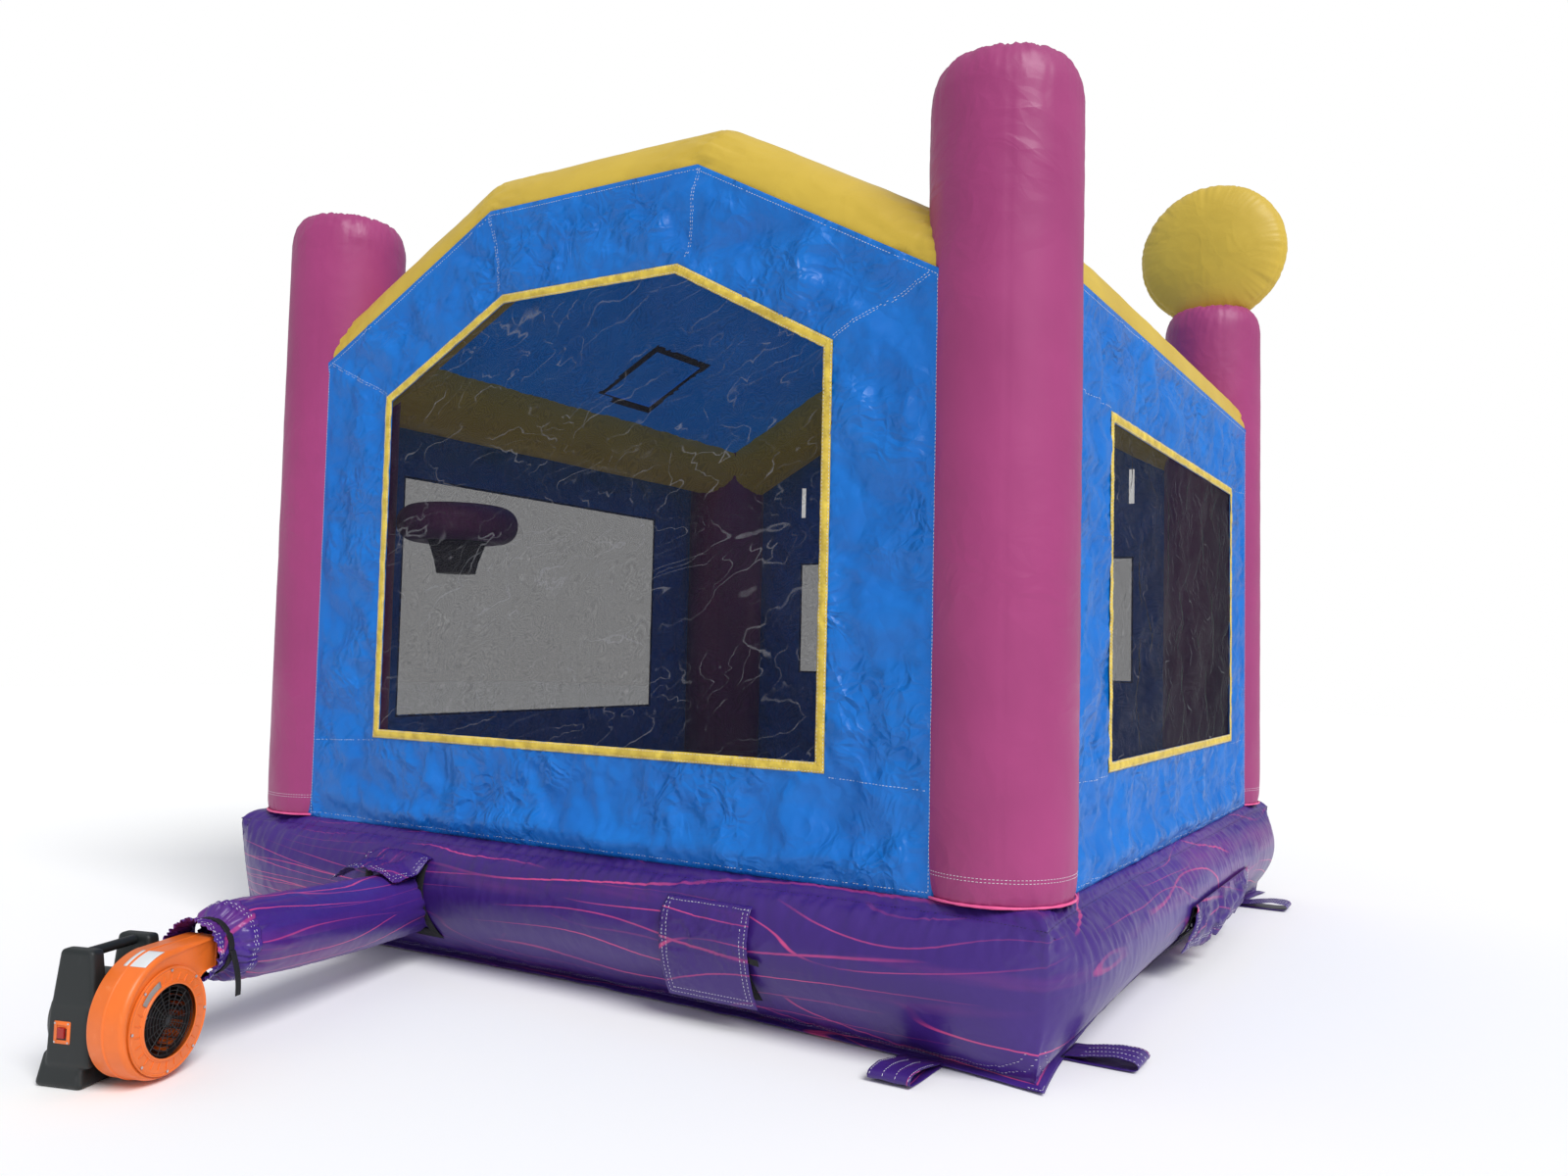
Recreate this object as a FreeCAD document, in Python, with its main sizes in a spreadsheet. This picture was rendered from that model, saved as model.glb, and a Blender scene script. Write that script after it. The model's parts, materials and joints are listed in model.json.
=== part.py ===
"""An inflatable bounce house with its blower: base, columns, beams, roof, walls, flaps and fan.

Frame: origin on the ground under the centre of the base, +Z up. The gabled rear wall and the blower
face -Y, the entrance faces +Y. Millimetres.
"""
import FreeCAD, Part
import math
import os
import re

import Sketcher

os.makedirs("parts", exist_ok=True)
doc = FreeCAD.newDocument("bounce_house")

# ---------------------------------------------------------------- driving dimensions
SIZES = {
    # Coated fabric and nets
    "skin": 2,                  # chamber wall, as heavy as the real coated fabric
    "panel": 3,                 # single wall and roof panels
    "net": 1.2,
    "tape": 1.6,                # sewn-on tape, trim and hook-and-loop strips
    "seam_gap": 0.2,
    # Base
    "base_half": 2060,          # half the width at the widest part of the bulged side
    "base_height": 545,
    "base_top_round": 110,
    "base_foot_round": 160,
    "base_corner_round": 60,
    "floor_half": 1948,
    "baffle_spacing": 600,
    "baffle_half": 1750,
    # Columns and discs
    "column_offset": 1731,
    "column_radius": 270,
    "column_top": 3460,
    "column_top_round": 100,
    "column_foot": 548,
    "disc_radius": 420,
    "disc_half_thick": 150,
    "disc_centre": 3805,
    # Beams and roof
    "beam_radius": 210,
    "beam_offset": 1735,
    "beam_eave": 2706,
    "arch_eave_half": 1534,
    "arch_knee_half": 549,
    "roof_pitch": 28.6,         # degrees
    "mitre_gap": 1,
    "column_clear": 290,        # radius of the beams' end cuts around a column's axis
    "roof_half": 1545,
    "roof_length_half": 1530,
    "roof_rise": 94,            # roof panel above the beams' centre line
    # Walls and windows
    "wall_plane": 1949,
    "wall_half": 1560,
    "wall_eave": 2700,
    "side_window_half": 1165,
    "side_window_top": 2308,
    "window_sill": 936,
    "window_half": 1165,
    "window_eave": 2488,
    "window_knee": 463,
    "trim_width": 38,
    "net_lap": 12,
    # Entrance side
    "door_half": 450,
    "door_sill": 620,
    "door_shoulder": 1820,
    "door_top": 1960,
    "door_top_half": 310,
    "door_gap": 4,
    "small_window_near": 620,
    "small_window_far": 1240,
    "small_window_sill": 1190,
    "small_window_top": 2040,
    "slit_near": 1182,
    "slit_far": 1216,
    "slit_sill": 2350,
    "slit_top": 2570,
    "step_half": 620,
    "step_depth": 740,
    "step_back_height": 360,
    "step_front_height": 150,
    "step_round": 55,
    "step_gap": 6,
    # Hoop
    "hoop_offset": 1327,
    "hoop_ring_radius": 208,
    "hoop_tube_radius": 92,
    "hoop_height": 1970,
    "hoop_net_height": 170,
    "hoop_net_foot": 100,
    "hoop_net_lap": 14,
    "hoop_net_inset": 60,
    "hoop_net_gap": 0.4,
    # Roof hatch
    "hatch_x": 1200,
    "hatch_y": 90,
    "hatch_hole": 440,
    "hatch_flap": 560,
    "fastener_width": 50,
    "fastener_lift": 1.8,       # hatch fastener under the roof panel
    "hatch_gap": 1,
    # Flaps on the base
    "flap_width": 370,
    "flap_top": 460,
    "flap_drop": 357,
    "rear_flap_x": 768,
    "inlet_flap_x": -834,
    "inlet_flap_reach": 250,
    "frame_strip": 45,
    "strip_inset": 8,
    "strip_top_inset": 24,
    "flap_stand": 9,            # outer face of the hanging flaps, out from the base
    "tie_length": 210,
    "tie_width": 24,
    "tie_height": 285,
    "tie_stand": 3.9,
    "side_flap_y": 225,
    "side_flap_length": 1230,
    "side_flap_top": 332,
    "side_flap_drop": 200,
    "side_flap_stand": 12,
    "side_strip_top_inset": 6,
    "zip_length": 1080,
    "zip_height": 232,
    "zip_width": 34,
    "slider_length": 32,
    "slider_width": 14,
    "slider_thick": 6,
    "slider_gap": 0.5,
    "slider_start": 20,
    "slider_round": 2,
    # Anchor loops
    "loop_width": 150,
    "loop_spread": 1550,
    "loop_reach": 125,
    "loop_height": 42,
    "loop_strap": 4,
    "loop_tail": 70,
    "loop_stand": 10,
    # Blower, in its own frame: X along the fan's axis to the intake, Y along the outlet
    "blower_x": -319.4,
    "blower_y": -3421.9,
    "blower_turn": 17.2,        # degrees
    "fan_height": 183,
    "volute_depth": 130,
    "volute_wall": 3,
    "volute_right": 166,
    "volute_foot": 172,
    "volute_left": 188,
    "volute_top": 213,
    "nozzle_end": 225,
    "nozzle_drop": 96,
    "cover_radius": 163,
    "cover_thick": 6,
    "cover_hole": 104,
    "cover_gap": 0.2,
    "lip_width": 10,
    "lip_height": 6,
    "grille_pitch": 26,
    "grille_wire": 4.6,
    "grille_thick": 3,
    "grille_start": 1,
    "grille_gap": 0.4,
    "grille_reach": 102,
    "screw_circle": 153.2,
    "screw_head": 4.2,
    "screw_thick": 2.4,
    "plate_screw_head": 3,
    "plate_screw_thick": 1.6,
    "plate_screw_x": 24,
    "plate_screw_z": 28,
    "face_hole": 138,
    "impeller_radius": 128,
    "impeller_depth": 78,
    "impeller_back": 26,
    "impeller_plate": 3,
    "impeller_ring": 4,
    "hub_radius": 24,
    "hub_length": 30,
    "blade_width": 20,
    "blade_thick": 2.4,
    "blade_inset": 21.5,
    "shaft_radius": 8,
    "shaft_bore": 8.08,
    "shaft_proud": 20,
    "shaft_inset": 6,
    "motor_gap": 4,
    "motor_radius": 55,
    "motor_length": 110,
    "drum_radius": 140,
    "drum_length": 212,
    "drum_wall": 4,
    "drum_gap": 0.4,
    "drum_round": 60,
    "foot_front": 172,
    "foot_back": 345,
    "foot_slope": 14.5,
    "foot_height": 95,
    "post_inner": 82,
    "post_width": 64,
    "post_back": 300,
    "post_front": 140,
    "post_lean_back": 24,
    "post_lean_front": 18,
    "post_foot": 250,
    "handle_x": 217,
    "handle_radius": 15,
    "handle_drop": 18,
    "gland_radius": 12,
    "gland_length": 22,
    "gland_bore": 5,
    "gland_side": 40,
    "gland_drop": 50,
    "foot_half": 150,
    "post_top": 412,
    "switch_x": -250,
    "switch_height": 165,
    "switch_stand": 7,
    "switch_plate_width": 60,
    "switch_plate_height": 68,
    "switch_plate_thick": 6.6,
    "rocker_width": 24,
    "rocker_height": 32,
    "rocker_depth": 8,
    "rocker_play": 1,
    "tube_radius": 136,
    "tube_from": 330,
    "tube_near_height": 348,
    "tube_far_height": 262,
    "cuff_from": 172,
    "cuff_radius": 92,
    "cuff_end_gap": 14,         # room for the tube's tilted end
    "cinch_at": 232,
    "cinch_width": 25,
    "cinch_lift": 1,
    "cinch_thick": 4,
    "tube_past": 120,           # extra length that the base's face trims off
    "tube_end_gap": 2.4,
}

sheet = doc.addObject("Spreadsheet::Sheet", "Sizes")
for row, (alias, number) in enumerate(SIZES.items(), start=1):
    sheet.set(f"A{row}", alias)
    sheet.set(f"B{row}", str(number))
    sheet.setAlias(f"B{row}", alias)
doc.recompute()


# ---------------------------------------------------------------- helpers
def cell(formula):
    """The formula with each alias written as a reference to its cell."""
    return re.sub(r"[a-z]\w*", lambda m: "Sizes." + m[0] if m[0] in SIZES else m[0], str(formula))


def size(formula):
    """The number that a formula of aliases gives now."""
    found = sheet.evalExpression(cell(formula))
    return float(getattr(found, "Value", found))


def bind(thing, **formulas):
    """Ties properties to formulas of the sheet's cells; x, y, z are the place, and None leaves one free."""
    for name, formula in formulas.items():
        if formula is None:
            continue
        target = f"Placement.Base.{name}" if name in ("x", "y", "z") else name
        thing.setExpression(target, cell(formula))
    return thing


def turn(thing, axis, degrees):
    """Turns an object about its own origin, keeping its place."""
    thing.Placement = FreeCAD.Placement(
        thing.Placement.Base, FreeCAD.Rotation(FreeCAD.Vector(*axis), degrees))
    return thing


def box(name, length, width, height, x=None, y=None, z=None):
    return bind(doc.addObject("Part::Box", name), Length=length, Width=width, Height=height, x=x, y=y, z=z)


def cylinder(name, radius, height, x=0, y=0, z=0, along="Z"):
    """A cylinder that starts at its place and runs along +X, +Y or +Z."""
    thing = bind(doc.addObject("Part::Cylinder", name), Radius=radius, Height=height)
    if along == "X":
        turn(thing, (0, 1, 0), 90)
    if along == "Y":
        turn(thing, (1, 0, 0), -90)
    return bind(thing, x=x, y=y, z=z)


def cut(name, base, *tools):
    """base without its tools."""
    for number, tool in enumerate(tools, start=1):
        thing = doc.addObject("Part::Cut", name if number == len(tools) else f"{name}_less{number}")
        thing.Base = base
        thing.Tool = tool
        base = thing
    return base


def fuse(name, *things):
    thing = doc.addObject("Part::MultiFuse", name)
    thing.Shapes = list(things)
    thing.Refine = True
    return thing


def rounded(name, base, radius, wanted):
    """base with the edges that wanted(edge) picks rounded."""
    doc.recompute()
    thing = doc.addObject("Part::Fillet", name)
    thing.Base = base
    thing.Edges = [(i, radius, radius) for i, edge in enumerate(base.Shape.Edges, start=1) if wanted(edge)]
    return thing


def at_height(z):
    """Picks edges that lie level at that height."""
    return lambda edge: abs(edge.BoundBox.ZMin - z) < 0.01 and abs(edge.BoundBox.ZMax - z) < 0.01


def compound(name, things):
    thing = doc.addObject("Part::Compound", name)
    thing.Links = list(things)
    return thing


def solid_feature(name, shape):
    """A shape that no primitive or sketch gives."""
    thing = doc.addObject("Part::Feature", name)
    thing.Shape = shape
    return thing


def outline(body, role, loops):
    """A sketch of closed straight loops on one of the body's own planes, each corner bound to the sheet."""
    sketch = body.newObject("Sketcher::SketchObject", body.Name + "_outline")
    plane = next(p for p in body.Origin.OriginFeatures if p.Role == role)
    sketch.AttachmentSupport = (plane, [""])
    sketch.MapMode = "FlatFace"
    for loop in loops:
        first = sketch.GeometryCount
        corners = [FreeCAD.Vector(size(a), size(b), 0) for a, b in loop]
        for start, end in zip(corners, corners[1:] + corners[:1]):
            sketch.addGeometry(Part.LineSegment(start, end), False)
        for i in range(len(loop)):
            before = first + (i - 1) % len(loop)
            sketch.addConstraint(Sketcher.Constraint("Coincident", before, 2, first + i, 1))
        for i, corner in enumerate(loop):
            for kind, formula in zip(("DistanceX", "DistanceY"), corner):
                number = sketch.addConstraint(Sketcher.Constraint(kind, first + i, 1, size(formula)))
                sketch.setExpression(f"Constraints[{number}]", cell(formula))
    return sketch


def cut_sheet(name, role, loops, thick, x=0, y=0, z=0):
    """A flat panel: loops on one of the body's planes, padded by thick, moved to its place."""
    body = doc.addObject("PartDesign::Body", name)
    pad = body.newObject("PartDesign::Pad", name + "_pad")
    pad.Profile = outline(body, role, loops)
    pad.setExpression("Length", cell(thick))
    body.Tip = pad
    return bind(body, x=x, y=y, z=z)


def rectangle(left, right, low, high):
    return [(left, low), (right, low), (right, high), (left, high)]


def gable(half, sill, eave, knee, inset="0"):
    """A gabled outline with a flat top; inset draws it that far inside."""
    ridge = f"{eave} + ({half} - {knee}) * tan(roof_pitch)"
    side = f"{half} - {inset}"
    shoulder = f"{eave} - {inset} * (1 / cos(roof_pitch) - tan(roof_pitch))"
    crown = f"{knee} - {inset} * (1 / cos(roof_pitch) - 1) / tan(roof_pitch)"
    right = [(side, f"{sill} + {inset}"), (side, shoulder), (crown, f"{ridge} - {inset}")]
    return right + [(f"-({a})", b) for a, b in reversed(right)]


NODES = []


def keep(thing, *label):
    """Makes an object a sub-part of its own, under its label."""
    thing.Label = label[0] if label else thing.Name
    NODES.append(thing)
    return thing


# ---------------------------------------------------------------- base
def base_block(name, inset):
    """The base's rounded block, drawn that far inside its outer skin."""
    half = f"base_half - {inset}"
    block = box(name + "_block", f"2 * ({half})", f"2 * ({half})", f"base_height - 2 * {inset}",
                f"-({half})", f"-({half})", inset)
    corners = rounded(name + "_corners", block, size(f"base_corner_round - {inset}"),
                      lambda edge: edge.BoundBox.ZLength > 1)
    foot = rounded(name + "_foot", corners, size(f"base_foot_round - {inset}"), at_height(size(inset)))
    return rounded(name, foot, size(f"base_top_round - {inset}"), at_height(size(f"base_height - {inset}")))


def make_base():
    outer = base_block("base_outer", "0")
    inner = base_block("base_inner", "skin")
    keep(cut("base_mattress", outer, inner))
    baffles = [box(f"baffle_{i}", "panel", "2 * baffle_half", "base_height - 2 * skin",
                   f"{i} * baffle_spacing - panel / 2", "-baffle_half", "skin") for i in range(-2, 3)]
    keep(compound("base_baffles", baffles))
    keep(box("bounce_floor", "2 * floor_half", "2 * floor_half", "column_foot - base_height",
             "-floor_half", "-floor_half", "base_height"))


# ---------------------------------------------------------------- columns and discs
CORNERS = {"rear_right": (1, -1), "rear_left": (-1, -1), "front_right": (1, 1), "front_left": (-1, 1)}


def column_block(name, x, y, inset):
    post = cylinder(name + "_post", f"column_radius - {inset}", f"column_top - column_foot - 2 * {inset}",
                    f"{x} * column_offset", f"{y} * column_offset", f"column_foot + {inset}")
    return rounded(name, post, size(f"column_top_round - {inset}"), at_height(size(f"column_top - {inset}")))


def make_columns():
    for corner, (x, y) in CORNERS.items():
        outer = column_block(f"column_{corner}_outer", x, y, "0")
        inner = column_block(f"column_{corner}_inner", x, y, "skin")
        keep(cut(f"column_{corner}", outer, inner))


def lens(name, side, inset):
    """Two shallow spherical caps face to face, with their axis along Y."""
    ball = "(disc_radius ^ 2 + disc_half_thick ^ 2) / (2 * disc_half_thick)"
    caps = []
    for face in (-1, 1):
        cap = doc.addObject("Part::Sphere", f"{name}_cap{face + 1}")
        bind(cap, Radius=f"{ball} - {inset}", x=f"{side} * column_offset",
             y=f"column_offset + {face} * ({ball} - disc_half_thick)", z="disc_centre")
        caps.append(cap)
    thing = doc.addObject("Part::MultiCommon", name)
    thing.Shapes = caps
    return thing


def make_discs():
    for name, side in (("disc_right", 1), ("disc_left", -1)):
        shell = cut(name + "_shell", lens(name + "_outer", side, "0"), lens(name + "_inner", side, "skin"))
        room = cylinder(name + "_column", "column_radius + 1", "column_top + 1", f"{side} * column_offset",
                        "column_offset", 0)
        keep(cut(name, shell, room))


# ---------------------------------------------------------------- beams and roof
def swept_arch(name, radius):
    """A round tube along the arch's centre line, mitred at its knees."""
    rise = size("(arch_eave_half - arch_knee_half) * tan(roof_pitch)")
    eave = size("beam_eave")
    tail = size("column_offset - arch_eave_half")
    path = doc.addObject("Part::Polygon", name + "_path")
    foot = (size("column_offset"), eave - tail * math.tan(math.radians(size("roof_pitch"))))
    knee = (size("arch_knee_half"), eave + rise)
    path.Nodes = [FreeCAD.Vector(x, 0, z) for x, z in
                  ((-foot[0], foot[1]), (-knee[0], knee[1]), knee, foot)]
    ring = doc.addObject("Part::Circle", name + "_ring")
    bind(ring, Radius=radius)
    ring.Placement = FreeCAD.Placement(FreeCAD.Vector(-foot[0], 0, foot[1]),
                                       FreeCAD.Rotation(FreeCAD.Vector(0, 1, 0), 90 - size("roof_pitch")))
    doc.recompute()
    thing = doc.addObject("Part::Sweep", name)
    thing.Sections = [ring]
    thing.Spine = (path, [f"Edge{i}" for i in (1, 2, 3)])
    thing.Solid = True
    thing.Transition = "Right corner"
    return thing


def make_arches():
    """Each arch is three straight tubes sewn together at the knees."""
    knee_height = size("beam_eave + (arch_eave_half - arch_knee_half) * tan(roof_pitch)")
    for end, y in (("rear", -1), ("front", 1)):
        name = f"arch_beam_{end}"
        tube = cut(name + "_tube", swept_arch(name + "_outer", "beam_radius"),
                   swept_arch(name + "_inner", "beam_radius - skin"))
        seams = []
        for side in (-1, 1):
            seam = box(f"{name}_seam{side + 1}", "mitre_gap", "3 * beam_radius", "4 * beam_radius")
            lean = FreeCAD.Rotation(FreeCAD.Vector(0, 1, 0), side * size("roof_pitch") / 2)
            middle = FreeCAD.Vector(size("mitre_gap") / 2, size("1.5 * beam_radius"), size("2 * beam_radius"))
            knee = FreeCAD.Vector(side * size("arch_knee_half"), 0, knee_height)
            seam.Placement = FreeCAD.Placement(knee - lean.multVec(middle), lean)
            seams.append(seam)
        posts = [cylinder(f"{name}_post{side + 1}", "column_clear", 4000, f"{side} * column_offset",
                          f"{y} * (column_offset - beam_offset)", 0) for side in (-1, 1)]
        keep(bind(cut(name, tube, *seams, *posts), y=f"{y} * beam_offset"))


def make_eave_beams():
    for side, x in (("left", -1), ("right", 1)):
        name = f"eave_beam_{side}"
        place = (f"{x} * beam_offset", "-column_offset", "beam_eave")
        outer = cylinder(name + "_outer", "beam_radius", "2 * column_offset", *place, along="Y")
        inner = cylinder(name + "_inner", "beam_radius - skin", "2 * column_offset", *place, along="Y")
        posts = [cylinder(f"{name}_post{y + 1}", "column_clear", 4000, f"{x} * column_offset",
                          f"{y} * column_offset", 0) for y in (-1, 1)]
        keep(cut(name, outer, inner, *posts))


def on_left_slope(x, y, above):
    """A placement on the roof's left slope: local X runs up the slope, local Z out of the roof."""
    pitch = math.radians(size("roof_pitch"))
    height = size("beam_eave + roof_rise") + (size("roof_half") + x) * math.tan(pitch)
    lean = FreeCAD.Rotation(FreeCAD.Vector(0, 1, 0), -size("roof_pitch"))
    return FreeCAD.Placement(FreeCAD.Vector(x, y, height) + lean.multVec(FreeCAD.Vector(0, 0, above)), lean)


def slope_square(name, width, thick, above):
    """A square plate centred on the hatch, lying above the roof's inner face."""
    plate = box(name, width, width, thick)
    middle = FreeCAD.Placement(FreeCAD.Vector(-size(width) / 2, -size(width) / 2, 0), FreeCAD.Rotation())
    plate.Placement = on_left_slope(-size("hatch_x"), size("hatch_y"), above) * middle
    return plate


def make_roof():
    eave = "beam_eave + roof_rise"
    crown = f"{eave} + (roof_half - arch_knee_half) * tan(roof_pitch)"
    upright = "panel / cos(roof_pitch)"
    under = [("roof_half", eave), ("arch_knee_half", crown), ("-arch_knee_half", crown), ("-roof_half", eave)]
    over = [("-roof_half", f"{eave} + {upright}"), ("-arch_knee_half", f"{crown} + {upright}"),
            ("arch_knee_half", f"{crown} + {upright}"), ("roof_half", f"{eave} + {upright}")]
    panel = cut_sheet("roof_panel", "XZ_Plane", [under + over], "2 * roof_length_half",
                      y="roof_length_half")
    through = size("2 * fastener_width")
    hole = slope_square("hatch_hole_cut", "hatch_hole", through, -through / 2)
    keep(cut("roof_sheet", panel, hole))
    strip_out = slope_square("hatch_fastener_out", "hatch_hole + 2 * fastener_width", "tape",
                             -size("fastener_lift"))
    strip_in = slope_square("hatch_fastener_in", "hatch_hole", through, -through / 2)
    frame = cut("hatch_fastener", strip_out, strip_in)
    keep(frame)
    keep(slope_square("roof_hatch", "hatch_flap", "panel", size("panel + hatch_gap")))


# ---------------------------------------------------------------- walls and windows
def side_window(inset):
    return rectangle(f"-side_window_half + {inset}", f"side_window_half - {inset}",
                     f"window_sill + {inset}", f"side_window_top - {inset}")


def make_side(side):
    """A straight wall of one side with its window net and trim tape."""
    x = {"left": -1, "right": 1}[side]
    wall = rectangle("-wall_half", "wall_half", "column_foot", "wall_eave")
    inner = "wall_plane - panel" if x > 0 else "-wall_plane"
    keep(cut_sheet(f"wall_{side}", "YZ_Plane", [wall, side_window("trim_width")], "panel", x=inner))
    net_x = "wall_plane - panel - seam_gap - net" if x > 0 else "-wall_plane + panel + seam_gap"
    keep(cut_sheet(f"window_net_{side}", "YZ_Plane", [side_window("(trim_width - net_lap)")], "net", x=net_x))
    trim_x = "wall_plane + seam_gap" if x > 0 else "-wall_plane - seam_gap - tape"
    keep(cut_sheet(f"window_trim_{side}", "YZ_Plane", [side_window("0"), side_window("trim_width")], "tape",
                   x=trim_x))


def make_rear():
    """The gabled rear wall with its large gabled window. A pad on the XZ plane grows towards -Y."""
    wall = gable("wall_half", "column_foot", "wall_eave", "arch_knee_half")
    window = ("window_half", "window_sill", "window_eave", "window_knee")
    keep(cut_sheet("wall_rear", "XZ_Plane", [wall, gable(*window, "trim_width")], "panel",
                   y="-wall_plane + panel"))
    keep(cut_sheet("window_net_rear", "XZ_Plane", [gable(*window, "(trim_width - net_lap)")], "net",
                   y="-wall_plane + panel + seam_gap + net"))
    keep(cut_sheet("window_trim_rear", "XZ_Plane", [gable(*window), gable(*window, "trim_width")], "tape",
                   y="-wall_plane - seam_gap"))


def doorway(inset):
    """The entrance opening, with cut-off upper corners; a negative inset draws it larger."""
    right = [(f"door_half - {inset}", f"door_sill + {inset}"), (f"door_half - {inset}", "door_shoulder"),
             (f"door_top_half - {inset}", f"door_top - {inset}")]
    return right + [(f"-({a})", b) for a, b in reversed(right)]


def small_window(x, inset):
    near, far = (f"{x} * (small_window_near + {inset})", f"{x} * (small_window_far - {inset})")
    low, high = (near, far) if x > 0 else (far, near)
    return rectangle(low, high, f"small_window_sill + {inset}", f"small_window_top - {inset}")


def vent_slit(x):
    low, high = ("slit_near", "slit_far") if x > 0 else ("-slit_far", "-slit_near")
    return rectangle(low, high, "slit_sill", "slit_top")


def make_front():
    """The gabled front wall: a doorway between two small windows, and a vent slit above each window."""
    wall = gable("wall_half", "column_foot", "wall_eave", "arch_knee_half")
    openings = [doorway("0")] + [small_window(x, "trim_width") for x in (-1, 1)]
    openings += [vent_slit(x) for x in (-1, 1)]
    keep(cut_sheet("wall_front", "XZ_Plane", [wall] + openings, "panel", y="wall_plane"))
    nets = [small_window(x, "(trim_width - net_lap)") for x in (-1, 1)]
    keep(cut_sheet("window_net_front", "XZ_Plane", nets, "net", y="wall_plane - panel - seam_gap"))
    trims = [loop for x in (-1, 1) for loop in (small_window(x, "0"), small_window(x, "trim_width"))]
    keep(cut_sheet("window_trim_front", "XZ_Plane", trims, "tape", y="wall_plane + seam_gap + tape"))
    keep(cut_sheet("door_trim", "XZ_Plane", [doorway("-trim_width"), doorway("0")], "tape",
                   y="wall_plane + seam_gap + tape"))
    for side, x in (("left", -1), ("right", 1)):
        leaf = [("door_gap / 2", "door_sill + door_gap"), ("door_half - door_gap", "door_sill + door_gap"),
                ("door_half - door_gap", "door_shoulder - door_gap"),
                ("door_top_half - door_gap", "door_top - door_gap"), ("door_gap / 2", "door_top - door_gap")]
        keep(cut_sheet(f"door_net_{side}", "XZ_Plane", [[(f"{x} * ({a})", b) for a, b in leaf]], "net",
                       y="wall_plane - panel / 2 + net / 2"))


# ---------------------------------------------------------------- hoop and entrance step
def make_hoop():
    corner = {"x": "-hoop_offset", "y": "-hoop_offset"}
    rings = []
    for part, inset in (("outer", "0"), ("inner", "skin")):
        ring = doc.addObject("Part::Torus", f"hoop_ring_{part}")
        bind(ring, Radius1="hoop_ring_radius", Radius2=f"hoop_tube_radius - {inset}",
             z="hoop_height", **corner)
        rings.append(ring)
    keep(cut("hoop_ring", *rings))
    nets = []
    for part, inset in (("outer", "0"), ("inner", "net")):
        cone = doc.addObject("Part::Cone", f"hoop_net_{part}")
        bind(cone, Radius1=f"hoop_net_foot - {inset}", Radius2=f"hoop_ring_radius - hoop_net_inset - {inset}",
             Height="hoop_net_height",
             z="hoop_height - hoop_tube_radius - hoop_net_height + hoop_net_lap", **corner)
        nets.append(cone)
    room = doc.addObject("Part::Torus", "hoop_net_ring_room")
    bind(room, Radius1="hoop_ring_radius", Radius2="hoop_tube_radius + hoop_net_gap", z="hoop_height",
         **corner)
    keep(cut("hoop_net", *nets, room))


def step_block(name, inset):
    back = f"base_half + step_gap + {inset}"
    front = f"base_half + step_gap + step_depth - {inset}"
    side = [(back, inset), (front, inset), (front, f"step_front_height - {inset}"),
            (back, f"step_back_height - {inset}")]
    block = cut_sheet(name + "_block", "YZ_Plane", [side], f"2 * (step_half - {inset})",
                      x=f"-step_half + {inset}")
    return rounded(name, block, size(f"step_round - {inset}"), lambda edge: True)


def make_step():
    keep(cut("entrance_step", step_block("step_outer", "0"), step_block("step_inner", "skin")))


# ---------------------------------------------------------------- flaps, fasteners and zip on the base
def strip_frame(name, role, left, right, low, high, **place):
    """A rectangular frame of hook-and-loop strip."""
    loops = [rectangle(left, right, low, high),
             rectangle(f"{left} + frame_strip", f"{right} - frame_strip", f"{low} + frame_strip",
                       f"{high} - frame_strip")]
    return keep(cut_sheet(name, role, loops, "tape", **place))


def make_rear_flaps():
    face = "-base_half - seam_gap"
    for name, x in (("rear_flap_fastener", "rear_flap_x"), ("inlet_flap_fastener", "inlet_flap_x")):
        strip_frame(name, "XZ_Plane", f"{x} - flap_width / 2 + strip_inset",
                    f"{x} + flap_width / 2 - strip_inset", "flap_top - flap_drop + strip_inset",
                    "flap_top - strip_top_inset", y=face)
    keep(box("rear_flap", "flap_width", "panel", "flap_drop", "rear_flap_x - flap_width / 2",
             "-base_half - flap_stand", "flap_top - flap_drop"))
    keep(box("inlet_flap", "flap_width", "inlet_flap_reach", "panel", "inlet_flap_x - flap_width / 2",
             "-base_half - flap_stand - inlet_flap_reach", "flap_top - panel"))
    keep(box("tie_strap", "tie_length", "panel", "tie_width", "rear_flap_x", "-base_half - tape - tie_stand",
             "tie_height"))


def make_side_flap():
    near = "side_flap_y - side_flap_length / 2"
    far = "side_flap_y + side_flap_length / 2"
    low = "side_flap_top - side_flap_drop"
    keep(box("side_flap", "panel", "side_flap_length", "side_flap_drop", "base_half + side_flap_stand",
             near, low))
    strip_frame("side_flap_fastener", "YZ_Plane", f"{near} + strip_inset", f"{far} - strip_inset",
                f"{low} + strip_inset", "side_flap_top - side_strip_top_inset", x="base_half + seam_gap")
    zip_start = "side_flap_y - zip_length / 2"
    keep(box("zip_tape", "tape", "zip_length", "zip_width", "base_half + seam_gap", zip_start,
             "zip_height - zip_width / 2"))
    body = box("zip_slider_body", "slider_thick", "slider_length", "slider_width",
               "base_half + seam_gap + tape + slider_gap", f"{zip_start} + slider_start",
               "zip_height - slider_width / 2")
    keep(rounded("zip_slider", body, size("slider_round"), lambda edge: edge.BoundBox.XLength > 1))


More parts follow.
